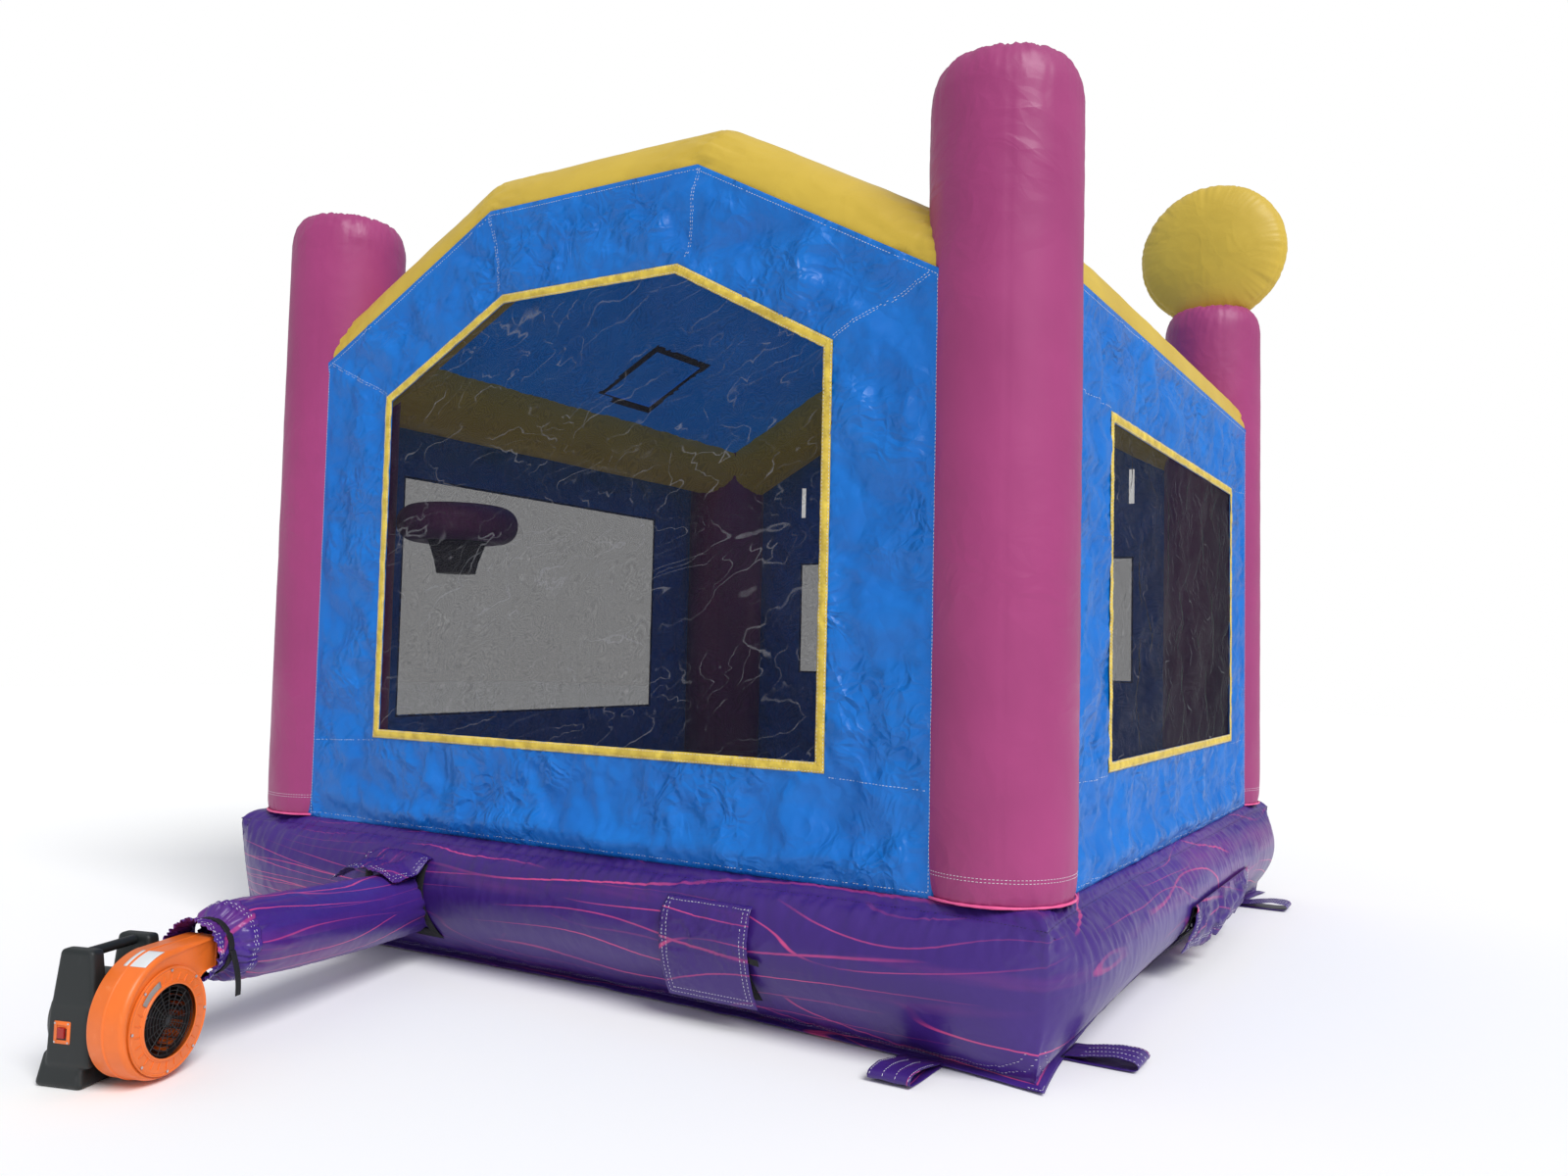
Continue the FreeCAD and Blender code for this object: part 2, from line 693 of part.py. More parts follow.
# ---------------------------------------------------------------- anchor loops
def strap_loop():
    """One loop of folded strap lying on the ground, pointing to -Y from the origin, open along X."""
    reach, height, strap = size("loop_reach"), size("loop_height"), size("loop_strap")
    width, tail = size("loop_width"), size("loop_tail")
    outer = Part.makeBox(width, reach, height, FreeCAD.Vector(-width / 2, -reach, 0))
    outer = outer.makeFillet(height / 2 - 1, [e for e in outer.Edges if e.BoundBox.XLength > 1])
    inner = Part.makeBox(width, reach - 2 * strap, height - 2 * strap,
                         FreeCAD.Vector(-width / 2, strap - reach, strap))
    inner = inner.makeFillet(height / 2 - 1 - strap, [e for e in inner.Edges if e.BoundBox.XLength > 1])
    tail_block = Part.makeBox(width, tail + height / 2, strap, FreeCAD.Vector(-width / 2, -height / 2, 0))
    return outer.cut(inner).fuse(tail_block).removeSplitter()


def make_anchor_loops():
    """Two loops on each side of the base, sewn under its lower edge."""
    loop = strap_loop()
    copies = []
    for quarter in range(4):
        for side in (-1, 1):
            spot = FreeCAD.Vector(side * size("loop_spread"), -size("base_half + loop_stand"), 0)
            spin = FreeCAD.Rotation(FreeCAD.Vector(0, 0, 1), 90 * quarter)
            copies.append(loop.transformed(FreeCAD.Placement(spin.multVec(spot), spin).toMatrix()))
    keep(solid_feature("anchor_loops", Part.makeCompound(copies)))


# ---------------------------------------------------------------- blower
def blower_placement():
    return FreeCAD.Placement(FreeCAD.Vector(size("blower_x"), size("blower_y"), 0),
                             FreeCAD.Rotation(FreeCAD.Vector(0, 0, 1), size("blower_turn")))


def keep_blower(thing, *label):
    """A sub-part drawn in the blower's own frame."""
    thing.Placement = blower_placement() * thing.Placement
    return keep(thing, *label)


def volute_face(x, inset):
    """The scroll's outline in the plane at x: four growing quarter arcs and a straight outlet on top."""
    height = size("fan_height")
    names = ("volute_right", "volute_foot", "volute_left", "volute_top")
    radii = [size(f"{name} - {inset}") for name in names]

    def at(radius, degrees):
        spin = math.radians(degrees)
        return FreeCAD.Vector(x, radius * math.cos(spin), height + radius * math.sin(spin))

    ends = [at(radius, -90 * i) for i, radius in enumerate(radii)]
    middles = [at((a + b) / 2, -90 * i - 45) for i, (a, b) in enumerate(zip(radii, radii[1:]))]
    edges = [Part.Arc(a, m, b).toShape() for a, m, b in zip(ends, middles, ends[1:])]
    top = ends[-1].z
    drop = size(f"nozzle_drop - 2 * {inset}")
    mouth = size("nozzle_end")
    tongue = math.sqrt(radii[0] ** 2 - (top - drop - height) ** 2)
    points = [ends[-1], FreeCAD.Vector(x, mouth, top), FreeCAD.Vector(x, mouth, top - drop),
              FreeCAD.Vector(x, tongue, top - drop)]
    edges += [Part.LineSegment(a, b).toShape() for a, b in zip(points, points[1:])]
    back = math.degrees(math.atan2(top - drop - height, tongue)) / 2
    edges.append(Part.Arc(points[-1], at(radii[0], back), ends[0]).toShape())
    return Part.Face(Part.Wire(edges))


def make_volute():
    wall = size("volute_wall")
    depth = size("volute_depth")
    height = size("fan_height")
    outer = volute_face(-depth, "0").extrude(FreeCAD.Vector(depth, 0, 0))
    inner = volute_face(wall - depth, "volute_wall").extrude(FreeCAD.Vector(depth - 2 * wall, 0, 0))
    mouth = Part.makeBox(depth - 2 * wall, 20, size("nozzle_drop") - 2 * wall,
                         FreeCAD.Vector(wall - depth, size("nozzle_end") - 10,
                                        height + size("volute_top - nozzle_drop") + wall))
    eye = Part.makeCylinder(size("face_hole"), 20, FreeCAD.Vector(-10, 0, height), FreeCAD.Vector(1, 0, 0))
    back = Part.makeCylinder(size("motor_radius") + 1, 20, FreeCAD.Vector(-depth - 10, 0, height),
                             FreeCAD.Vector(1, 0, 0))
    keep_blower(solid_feature("volute_housing", outer.cut(inner).cut(mouth).cut(eye).cut(back)))


def make_intake():
    height = "fan_height"
    plate = cylinder("intake_plate", "cover_radius", "cover_thick", "cover_gap", 0, height, along="X")
    lip = cylinder("intake_lip", "cover_hole + lip_width", "cover_thick + lip_height",
                   "cover_gap", 0, height, along="X")
    hole = cylinder("intake_hole", "cover_hole", "60", -30, 0, height, along="X")
    keep_blower(cut("intake_cover", fuse("intake_disc", plate, lip), hole))
    rings = []
    for number in range(1, 5):
        name = f"grille_ring_{number}"
        outer = cylinder(name + "_out", f"grille_pitch * {number} - grille_gap", "grille_thick",
                         "grille_start", 0, height, along="X")
        inner = cylinder(name + "_in", f"grille_pitch * {number} - grille_gap - grille_wire",
                         "grille_thick", "grille_start", 0, height, along="X")
        rings.append(cut(name, outer, inner))
    bars = []
    middle = FreeCAD.Vector(0, size("grille_reach"), size("grille_wire / 2"))
    for number in range(4):
        bar = box(f"grille_bar_{number}", "grille_thick", "2 * grille_reach", "grille_wire")
        spin = FreeCAD.Rotation(FreeCAD.Vector(1, 0, 0), 45 * number)
        centre = FreeCAD.Vector(size("grille_start"), 0, size(height))
        bar.Placement = FreeCAD.Placement(centre - spin.multVec(middle), spin)
        bars.append(bar)
    keep_blower(fuse("intake_grille", *rings, *bars))


def make_screws():
    """Pan heads around the intake cover and at the corners of the switch plate."""
    heads = []
    for number in range(8):
        spin = math.radians(45 * number)
        heads.append(cylinder(f"cover_screw_{number}", "screw_head", "screw_thick",
                              "cover_thick + 2 * cover_gap",
                              f"screw_circle * {math.cos(spin):.6f}",
                              f"fan_height + screw_circle * {math.sin(spin):.6f}", along="X"))
    for number, (x, z) in enumerate(((-1, -1), (1, -1), (-1, 1), (1, 1))):
        heads.append(cylinder(f"plate_screw_{number}", "plate_screw_head", "plate_screw_thick",
                              f"switch_x + {x} * plate_screw_x", "-drum_radius - switch_stand - 2",
                              f"switch_height + {z} * plate_screw_z", along="Y"))
    keep_blower(compound("blower_screws", heads))


BLADES = 24
BLADE_LEAN = 20     # degrees, forward


def make_impeller():
    """A back plate and hub with forward-curved blades joined by a front ring."""
    height = "fan_height"
    back = "-volute_depth + impeller_back"
    plate = cylinder("impeller_plate", "impeller_radius", "impeller_plate", back, 0, height, along="X")
    hub = cylinder("impeller_hub", "hub_radius", "hub_length", back, 0, height, along="X")
    ring_out = cylinder("impeller_ring_out", "impeller_radius", "impeller_ring", f"{back} + impeller_depth", 0,
                        height, along="X")
    ring_in = cylinder("impeller_ring_in", "impeller_radius - 1.1 * blade_width", "impeller_ring",
                       f"{back} + impeller_depth", 0, height,
                       along="X")
    blades = []
    for number in range(BLADES):
        blade = box(f"blade_{number}", "impeller_depth", "blade_thick", "blade_width")
        spin = FreeCAD.Rotation(FreeCAD.Vector(1, 0, 0), 360 / BLADES * number)
        start = FreeCAD.Vector(size(back), 0, size(height))
        lean = FreeCAD.Rotation(FreeCAD.Vector(1, 0, 0), 360 / BLADES * number + BLADE_LEAN)
        root = spin.multVec(FreeCAD.Vector(0, 0, size("impeller_radius - blade_inset")))
        blade.Placement = FreeCAD.Placement(start + root, lean)
        blades.append(blade)
    wheel = fuse("impeller_wheel", plate, hub, cut("impeller_ring", ring_out, ring_in), *blades)
    bore = cylinder("impeller_bore", "shaft_radius", "200", "-volute_depth", 0, height, along="X")
    keep_blower(cut("impeller", wheel, bore))
    shaft = cylinder("motor_shaft_rod", "shaft_radius", "motor_length + shaft_proud",
                     f"{back} - motor_length + shaft_inset", 0, height, along="X")
    keep_blower(rounded("motor_shaft", shaft, 1, lambda edge: edge.BoundBox.XLength < 0.01))
    can = cylinder("motor_can", "motor_radius", "motor_length", "-volute_depth - motor_length + motor_gap", 0, height,
                   along="X")
    hole = cylinder("motor_bore", "shaft_bore", "2 * motor_length",
                    "-volute_depth - motor_length + 3 * motor_gap", 0, height, along="X")
    keep_blower(cut("motor", can, hole))


def drum(name, inset):
    """The motor's rounded cover, a drum along the fan's axis with its far end well rounded."""
    barrel = cylinder(name + "_barrel", f"drum_radius - {inset}", f"drum_length - {inset}",
                      "-volute_depth - drum_length - drum_gap", 0, "fan_height", along="X")
    bind(barrel, x=f"-volute_depth - drum_length - drum_gap + {inset}")
    far = -size("volute_depth + drum_length / 4")
    return rounded(name, barrel, size(f"drum_round - {inset}"),
                   lambda edge: edge.BoundBox.XMax < far and edge.BoundBox.XLength < 0.01)


def make_motor_housing():
    """A drum on a flared foot, with two posts that carry the handle bar."""
    foot = cut_sheet("housing_foot", "XZ_Plane",
                     [[("-foot_back", "0"), ("-foot_front", "0"), ("-foot_front - foot_slope", "foot_height"),
                       ("-foot_back + foot_slope", "foot_height")]], "2 * foot_half", y="foot_half")
    arch = cylinder("housing_foot_arch", "foot_height", "foot_back", "-1.3 * foot_back", 0,
                    "-foot_height / 2", along="X")
    posts = []
    for number, y in enumerate((-1, 1)):
        start = "-post_inner" if y < 0 else "post_inner + post_width"
        posts.append(cut_sheet(f"housing_post_{number}", "XZ_Plane",
                               [[("-post_back", "post_foot"), ("-post_front", "post_foot"),
                                 ("-post_front - post_lean_front", "post_top"),
                                 ("-post_back + post_lean_back", "post_top")]], "post_width", y=start))
    body = fuse("housing_body", drum("housing_drum", "0"), cut("housing_foot_open", foot, arch), *posts)
    keep_blower(cut("motor_housing", body, drum("housing_hollow", "drum_wall")))
    bar = cylinder("handle_bar_core", "handle_radius", "2 * post_inner - 1", "-handle_x", "0.5 - post_inner",
                   "post_top - handle_drop", along="Y")
    keep_blower(rounded("handle_bar", bar, 2, lambda edge: edge.BoundBox.YLength < 0.01))
    gland = cylinder("cable_gland_body", "gland_radius", "gland_length",
                     "-volute_depth - drum_length - gland_length - 1.5 * drum_gap", "-gland_side",
                     "fan_height - gland_drop", along="X")
    bore = cylinder("cable_gland_bore", "gland_bore", "2 * gland_length",
                    "-volute_depth - drum_length - 2 * gland_length", "-gland_side",
                    "fan_height - gland_drop", along="X")
    keep_blower(cut("cable_gland", gland, bore))


def make_switch():
    plate = box("switch_plate_block", "switch_plate_width", "switch_plate_thick", "switch_plate_height",
                "switch_x - switch_plate_width / 2", "-drum_radius - switch_stand",
                "switch_height - switch_plate_height / 2")
    window_height = "(rocker_height + 3 * rocker_play)"
    window = box("switch_plate_window", "rocker_width + rocker_play", "6 * switch_plate_thick", window_height,
                 "switch_x - (rocker_width + rocker_play) / 2", "-drum_radius - 3 * switch_plate_thick",
                 f"switch_height - {window_height} / 2")
    keep_blower(cut("switch_plate", rounded("switch_plate_rounded", plate, 6,
                                            lambda edge: edge.BoundBox.YLength > 1), window))
    rocker = box("rocker_block", "rocker_width", "rocker_depth", "rocker_height",
                 "switch_x - rocker_width / 2", "-drum_radius - 1.5 * rocker_depth",
                 "switch_height - rocker_height / 2")
    keep_blower(rounded("rocker_switch", rocker, 1.5, lambda edge: edge.BoundBox.XLength > 1))


def make_tube():
    """The fabric tube from the base to the nozzle, its gathered cuff and the strap that cinches it."""
    x = -size("volute_depth") / 2
    start = FreeCAD.Vector(x, size("tube_from"), size("tube_near_height"))
    turned = math.radians(size("blower_turn"))
    reach = (-size("base_half") - size("blower_y") - x * math.sin(turned)) / math.cos(turned)
    end = FreeCAD.Vector(x, reach, size("tube_far_height"))
    run = end - start
    past = size("tube_past")
    tube = Part.makeCylinder(size("tube_radius"), run.Length + past, start, run)
    hollow = Part.makeCylinder(size("tube_radius - skin"), run.Length + past, start, run)
    behind = Part.makeBox(4000, 4000, 2000, FreeCAD.Vector(-2000, -size("base_half + tube_end_gap"), -500))
    behind = behind.transformed(blower_placement().inverse().toMatrix())
    keep_blower(solid_feature("inflation_tube", tube.cut(hollow).cut(behind)))
    cones = []
    for part, inset in (("outer", "0"), ("inner", "skin")):
        cone = doc.addObject("Part::Cone", f"tube_cuff_{part}")
        bind(cone, Radius1=f"cuff_radius - {inset}", Radius2=f"tube_radius - {inset}",
             Height="tube_from - cuff_from - cuff_end_gap")
        turn(cone, (1, 0, 0), -90)
        bind(cone, x="-volute_depth / 2", y="cuff_from", z="tube_near_height")
        cones.append(cone)
    keep_blower(cut("tube_cuff", *cones))
    strap = []
    for part, grow in (("outer", "cinch_lift + cinch_thick"), ("inner", "cinch_lift")):
        slope = "(tube_radius - cuff_radius) / (tube_from - cuff_from - cuff_end_gap)"
        near = f"cuff_radius + (cinch_at - cuff_from) * {slope} + {grow}"
        cone = doc.addObject("Part::Cone", f"cinch_{part}")
        bind(cone, Radius1=near, Radius2=f"{near} + cinch_width * {slope}", Height="cinch_width")
        turn(cone, (1, 0, 0), -90)
        bind(cone, x="-volute_depth / 2", y="cinch_at", z="tube_near_height")
        strap.append(cone)
    keep_blower(cut("cinch_strap", *strap))


# ---------------------------------------------------------------- build, test and write
make_base()
make_columns()
make_discs()
make_arches()
make_eave_beams()
make_roof()
make_side("left")
make_side("right")
make_rear()
make_front()
make_hoop()
make_step()
make_rear_flaps()
make_side_flap()
make_anchor_loops()
make_volute()
make_intake()
make_screws()
make_impeller()
make_motor_housing()
make_switch()
make_tube()
doc.recompute()

failed = [thing.Name for thing in doc.Objects if {"Invalid", "Error"} & set(thing.State)]
if failed:
    raise SystemExit(f"these objects did not recompute: {failed}")
for thing in NODES:
    if thing.Shape.isNull() or not thing.Shape.isValid() or not thing.Shape.Solids:
        raise SystemExit(f"{thing.Label} has no valid solid")
    thing.Shape.exportStep(f"parts/{thing.Label}.step")
    extent = thing.Shape.BoundBox
    print(f"{thing.Label}: {len(thing.Shape.Solids)} solids, {thing.Shape.Volume / 1e6:.3f} litres, "
          f"x {extent.XMin:.0f}..{extent.XMax:.0f} y {extent.YMin:.0f}..{extent.YMax:.0f} "
          f"z {extent.ZMin:.0f}..{extent.ZMax:.0f}")
print(len(NODES), "sub-parts")
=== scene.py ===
# %% [markdown]
# # An inflatable bounce house with its blower
# The house is a purple base, four columns and yellow beams, all blown up with air, with single
# sheets of fabric and net stretched between them. The frame that comes in here is the engineering
# model: it says where every piece sits. Each cell below makes one piece over it.
# %% Load the frame
import json
import math

import bpy
import numpy as np
from mathutils import Matrix, Vector
from mathutils.bvhtree import BVHTree


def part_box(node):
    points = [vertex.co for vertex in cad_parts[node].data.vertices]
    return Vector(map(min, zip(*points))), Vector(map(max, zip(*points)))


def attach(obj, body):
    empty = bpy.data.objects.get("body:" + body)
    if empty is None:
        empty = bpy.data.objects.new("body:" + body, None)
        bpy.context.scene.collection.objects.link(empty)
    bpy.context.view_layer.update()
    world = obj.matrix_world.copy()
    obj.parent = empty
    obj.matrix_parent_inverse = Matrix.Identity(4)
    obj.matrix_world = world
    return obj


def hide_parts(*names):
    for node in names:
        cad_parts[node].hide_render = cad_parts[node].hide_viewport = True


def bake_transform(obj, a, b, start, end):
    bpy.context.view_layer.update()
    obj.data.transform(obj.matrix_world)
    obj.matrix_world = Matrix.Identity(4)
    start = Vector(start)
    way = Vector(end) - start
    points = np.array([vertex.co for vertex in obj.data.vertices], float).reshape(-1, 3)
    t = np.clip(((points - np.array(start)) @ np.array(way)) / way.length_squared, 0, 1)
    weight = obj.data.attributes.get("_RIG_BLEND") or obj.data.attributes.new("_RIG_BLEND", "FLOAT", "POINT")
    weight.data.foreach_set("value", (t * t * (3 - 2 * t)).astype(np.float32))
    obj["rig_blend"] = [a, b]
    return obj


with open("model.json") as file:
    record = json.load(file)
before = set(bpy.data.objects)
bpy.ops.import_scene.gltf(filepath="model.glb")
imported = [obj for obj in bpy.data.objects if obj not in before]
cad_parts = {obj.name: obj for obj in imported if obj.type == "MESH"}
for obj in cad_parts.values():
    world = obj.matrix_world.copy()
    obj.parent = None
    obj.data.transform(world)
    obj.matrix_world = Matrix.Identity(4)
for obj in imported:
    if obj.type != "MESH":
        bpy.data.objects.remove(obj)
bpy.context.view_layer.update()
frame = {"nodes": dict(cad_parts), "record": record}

# %% [markdown]
# ## Tools for modelling
# Blender's operators act on whatever is selected, so every step starts by selecting one piece only.
# Faces and edges are then picked by where they are and which way they face, as a hand would do it.
# %% Selecting, shaping and applying
HOUSE = "house"
FULL_TURN = 2 * math.pi


def idle():
    """Leaves edit mode and deselects everything."""
    if bpy.context.object and bpy.context.object.mode != "OBJECT":
        bpy.ops.object.mode_set(mode="OBJECT")
    bpy.ops.object.select_all(action="DESELECT")


def only(piece):
    idle()
    piece.select_set(True)
    bpy.context.view_layer.objects.active = piece
    return piece


def pick(piece, wanted, kind="FACE"):
    """Opens the piece in edit mode with the faces that wanted(centre, normal) picks, or the edges that
    wanted(middle, direction) picks."""
    only(piece)
    mesh = piece.data
    for things in (mesh.vertices, mesh.edges, mesh.polygons):
        things.foreach_set("select", [False] * len(things))
    bpy.context.tool_settings.mesh_select_mode = (False, kind == "EDGE", kind == "FACE")
    if kind == "FACE":
        for face in mesh.polygons:
            face.select = bool(wanted(face.center, face.normal))
    else:
        for edge in mesh.edges:
            a, b = (mesh.vertices[i].co for i in edge.vertices)
            edge.select = bool(wanted((a + b) / 2, (b - a).normalized()))
    bpy.ops.object.mode_set(mode="EDIT")


def pick_all(piece):
    only(piece)
    bpy.context.tool_settings.mesh_select_mode = (True, False, False)
    bpy.ops.object.mode_set(mode="EDIT")
    bpy.ops.mesh.select_all(action="SELECT")


def weld(piece, distance=0.0001):
    """Joins points that lie on each other and turns every face outwards."""
    pick_all(piece)
    bpy.ops.mesh.remove_doubles(threshold=distance)
    bpy.ops.mesh.normals_make_consistent(inside=False)
    idle()


def settle():
    """Puts the piece's own place, turn and size into its mesh."""
    bpy.ops.object.transform_apply(location=True, rotation=True, scale=True)
    return bpy.context.object


def add_block(middle, size):
    """A cube stretched to a size round its middle."""
    idle()
    bpy.ops.mesh.primitive_cube_add(size=1, location=middle)
    bpy.context.object.scale = size
    return settle()


def modify(piece, kind, **values):
    """Adds a modifier and applies it."""
    only(piece)
    modifier = piece.modifiers.new(kind.title(), kind)
    for name, value in values.items():
        setattr(modifier, name, value)
    bpy.ops.object.modifier_apply(modifier=modifier.name)


def xyz(*parts):
    """Places from their x, y and z, or from two of these. A number stands for all places."""
    return np.stack(np.broadcast_arrays(*parts), axis=1)


def read_off(at, marks, table):
    """Every column of a table, read off between its rows' marks."""
    return np.stack([np.interp(at, marks, column) for column in table.T], axis=1)


def ways_along(line):
    """How far along a line each of its points lies."""
    return np.concatenate([[0], np.cumsum(np.linalg.norm(np.diff(line, axis=0), axis=1))])


def thicken(piece, thickness, offset=0):
    modify(piece, "SOLIDIFY", thickness=thickness, offset=offset)


def places_of(piece):
    places = np.zeros(len(piece.data.vertices) * 3)
    piece.data.vertices.foreach_get("co", places)
    return places.reshape(-1, 3)


def move_to(piece, places):
    piece.data.vertices.foreach_set("co", np.ascontiguousarray(places).ravel())
    piece.data.update()


def nudge(piece, by):
    move_to(piece, places_of(piece) + np.array(by))


def normals_of(piece):
    normals = np.zeros(len(piece.data.vertices) * 3)
    piece.data.vertex_normals.foreach_get("vector", normals)
    return normals.reshape(-1, 3)


def swell(piece, heights):
    """Moves each point along its normal by its own height."""
    move_to(piece, places_of(piece) + normals_of(piece) * heights[:, None])


def turned(places, matrix):
    return places @ np.array(matrix.to_3x3()).T + np.array(matrix.translation)


def finish_piece(piece, name, material, slot, *nodes, body=HOUSE, angle=None, seam=None):
    """Names a piece, gives it its finish, and hands it to the body it moves with. Cloth that bends along
    a seam follows the house before it and its own body after it; seam holds those two points."""
    only(piece)
    settle()
    piece.name = name
    piece.data.name = name
    layers = piece.data.attributes
    for kept in ("u", "v"):
        if kept in layers:
            layers.remove(layers[kept])
    if angle is None:
        bpy.ops.object.shade_smooth()
    else:
        bpy.ops.object.shade_smooth_by_angle(angle=math.radians(angle))
    piece.data.materials.clear()
    piece.data.materials.append(material)
    if seam:
        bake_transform(piece, HOUSE, body, start=seam[0], end=seam[1])
    else:
        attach(piece, body)
    if nodes:
        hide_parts(*nodes)
    size = piece.dimensions
    print(f"{name}: {len(piece.data.polygons)} faces, {size.x:.3f} x {size.y:.3f} x {size.z:.3f} m")
    return piece


def copy_of(piece, name):
    """A copy with a mesh of its own."""
    only(piece)
    bpy.ops.object.duplicate(linked=False)
    twin = bpy.context.object
    twin.name = name
    return twin


# %% [markdown]
# ## Folds in cloth
# Blown-up fabric is never smooth: thread gathers it beside a seam, and every panel has slack in it.
# `lumps` is a smooth random height, and `pleats` turns it into the narrow puckers along a seam.
# Flat panels get their creases from Blender's own cloth further down.
# %% Random heights and puckers
def lumps(places, seed=0):
    """Smooth random heights, about -1 to 1, that change over a distance of one unit."""
    whole = np.floor(places).astype(np.int64)
    part = places - whole
    fade = part ** 3 * (part * (part * 6 - 15) + 10)
    total = np.zeros(len(places))
    for corner in np.ndindex(2, 2, 2):
        mixed = (whole + corner) @ np.array([73856093, 19349663, 83492791]) + seed * 668265263
        mixed = (mixed ^ (mixed >> 15)) * 2246822519 & 0xFFFFFFFF
        mixed = (mixed ^ (mixed >> 13)) * 3266489917 & 0xFFFFFFFF
        slope = np.stack([(mixed >> shift & 1023) / 511.5 - 1 for shift in (0, 10, 20)], axis=1)
        weight = np.prod(np.where(corner, fade, 1 - fade), axis=1)
        total += weight * ((part - corner) * slope).sum(axis=1)
    return 1.6 * total


def pleats(along, spacing, seed=0):
    """Narrow folds, from 0 to 1, along a seam whose course is given as points."""
    fold = 1 - 2.4 * np.abs(lumps(along / spacing, seed))
    return np.clip(fold, 0, 1) ** 1.5


def slack(places, seed=0):
    """The shallow long dents of fabric under little tension, about -1 to 1."""
    wander = np.stack([lumps(places * 1.7, seed + i) for i in range(3)], axis=1)
    return lumps(places * 4 + wander, seed + 5) * 0.6 + lumps(places * 11 + wander * 2, seed + 6) * 0.4


# %% [markdown]
# ## Camera and studio
# The camera stands where a person beside the blower would stand, a little over waist height, looking
# slightly up at the near corner. The light is that of a bright overcast day: a pale sky all round, a
# veiled sun to the right of the camera, and a plain pale floor.
# %% Camera, floor and light
EYE = (3.2475, -5.7285, 1.3614)
LOOK = (93.03, -1.28, 30.87)
LENS = 27.83

idle()
bpy.ops.object.camera_add(location=EYE, rotation=[math.radians(a) for a in LOOK])
camera = bpy.context.object
camera.data.lens = LENS
camera.data.sensor_width = 36
camera.data.dof.use_dof = False
bpy.context.scene.camera = camera
bpy.context.scene.view_settings.view_transform = "Standard"

bpy.ops.mesh.primitive_plane_add(size=60, location=(0, 0, -0.002))
floor = bpy.context.object
floor.name = "studio_floor"
floor_finish = bpy.data.materials.new("studio_floor")
floor_finish.use_nodes = True
floor_look = floor_finish.node_tree.nodes["Principled BSDF"]
floor_look.inputs["Base Color"].default_value = (0.98, 0.98, 0.98, 1)
floor_look.inputs["Roughness"].default_value = 0.95
floor.data.materials.append(floor_finish)

SKY_GLOW = (0.50, 0.51, 0.52, 1)
sky = bpy.data.worlds.new("overcast_sky")
sky.use_nodes = True
sky_nodes = sky.node_tree.nodes
way_seen = sky_nodes.new("ShaderNodeLightPath")
tint = sky_nodes.new("ShaderNodeMixRGB")
tint.inputs["Color1"].default_value = SKY_GLOW
tint.inputs["Color2"].default_value = (1, 1, 1, 1)
sky.node_tree.links.new(way_seen.outputs["Is Camera Ray"], tint.inputs["Fac"])
sky.node_tree.links.new(tint.outputs[0], sky_nodes["Background"].inputs["Color"])
bpy.context.scene.world = sky

SUN_FROM, SUN_POWER, SUN_SPREAD = (0.62, -0.30, 0.72), 2.5, 30
bpy.ops.object.light_add(type="SUN", location=(8, -4, 9))
sun = bpy.context.object
sun.name = "veiled_sun"
sun.data.energy = SUN_POWER
sun.data.angle = math.radians(SUN_SPREAD)
sun.rotation_euler = Vector(SUN_FROM).to_track_quat("Z", "Y").to_euler()
print("camera at", EYE, "under an overcast sky")

# %% [markdown]
# ## Finishes
# Nearly everything is one kind of cloth: a woven base with a coating on top. Close up it shows the
# weave under the coat, and from further off fine creases. Both effects are shader groups, made once,
# that give each material a height for its bump and a mask for its colour.
# %% Shader groups: weave, creases, marbling
def new_group(name, outputs, **numbers):
    """A group that takes a Vector and the numbers given, and puts out one number for each output."""
    group = bpy.data.node_groups.new(name, "ShaderNodeTree")
    group.interface.new_socket("Vector", in_out="INPUT", socket_type="NodeSocketVector")
    for label, value in numbers.items():
        socket = group.interface.new_socket(label, in_out="INPUT", socket_type="NodeSocketFloat")
        socket.default_value = value
    for label in outputs:
        group.interface.new_socket(label, in_out="OUTPUT", socket_type="NodeSocketFloat")
    start = group.nodes.new("NodeGroupInput")
    end = group.nodes.new("NodeGroupOutput")
    return group, start, end


class Desk:
    """Short ways to add and wire the nodes of one tree."""

    def __init__(self, tree):
        self.tree = tree

    def node(self, kind, settings=None, **wires):
        made = self.tree.nodes.new("ShaderNode" + kind)
        for name, value in (settings or {}).items():
            setattr(made, name, value)
        for name, value in wires.items():
            self.put(made.inputs[name.replace("_", " ")], value)
        return made

    def put(self, socket, value):
        if isinstance(value, bpy.types.NodeSocket):
            self.tree.links.new(value, socket)
        else:
            socket.default_value = value

    def math(self, operation, *values, clamp=False):
        made = self.tree.nodes.new("ShaderNodeMath")
        made.operation = operation
        made.use_clamp = clamp
        for socket, value in zip(made.inputs, values):
            self.put(socket, value)
        return made.outputs[0]

    def times(self, *values):
        return self.math("MULTIPLY", *values)

    def plus(self, *values, clamp=False):
        return self.math("ADD", *values, clamp=clamp)

    def ramp(self, value, low, high, to_low=0.0, to_high=1.0):
        made = self.node("MapRange", Value=value, From_Min=low, From_Max=high, To_Min=to_low, To_Max=to_high)
        return made.outputs[0]

    def noise(self, vector, scale, detail=2.0, distortion=0.0, rough=0.5):
        made = self.node("TexNoise", Vector=vector, Scale=scale, Detail=detail, Distortion=distortion,
                         Roughness=rough)
        return made.outputs["Fac"]

    def blend(self, share, one, other):
        made = self.tree.nodes.new("ShaderNodeMix")
        made.data_type = "RGBA"
        self.put(made.inputs[0], share)
        self.put(made.inputs[6], one)
        self.put(made.inputs[7], other)
        return made.outputs[2]


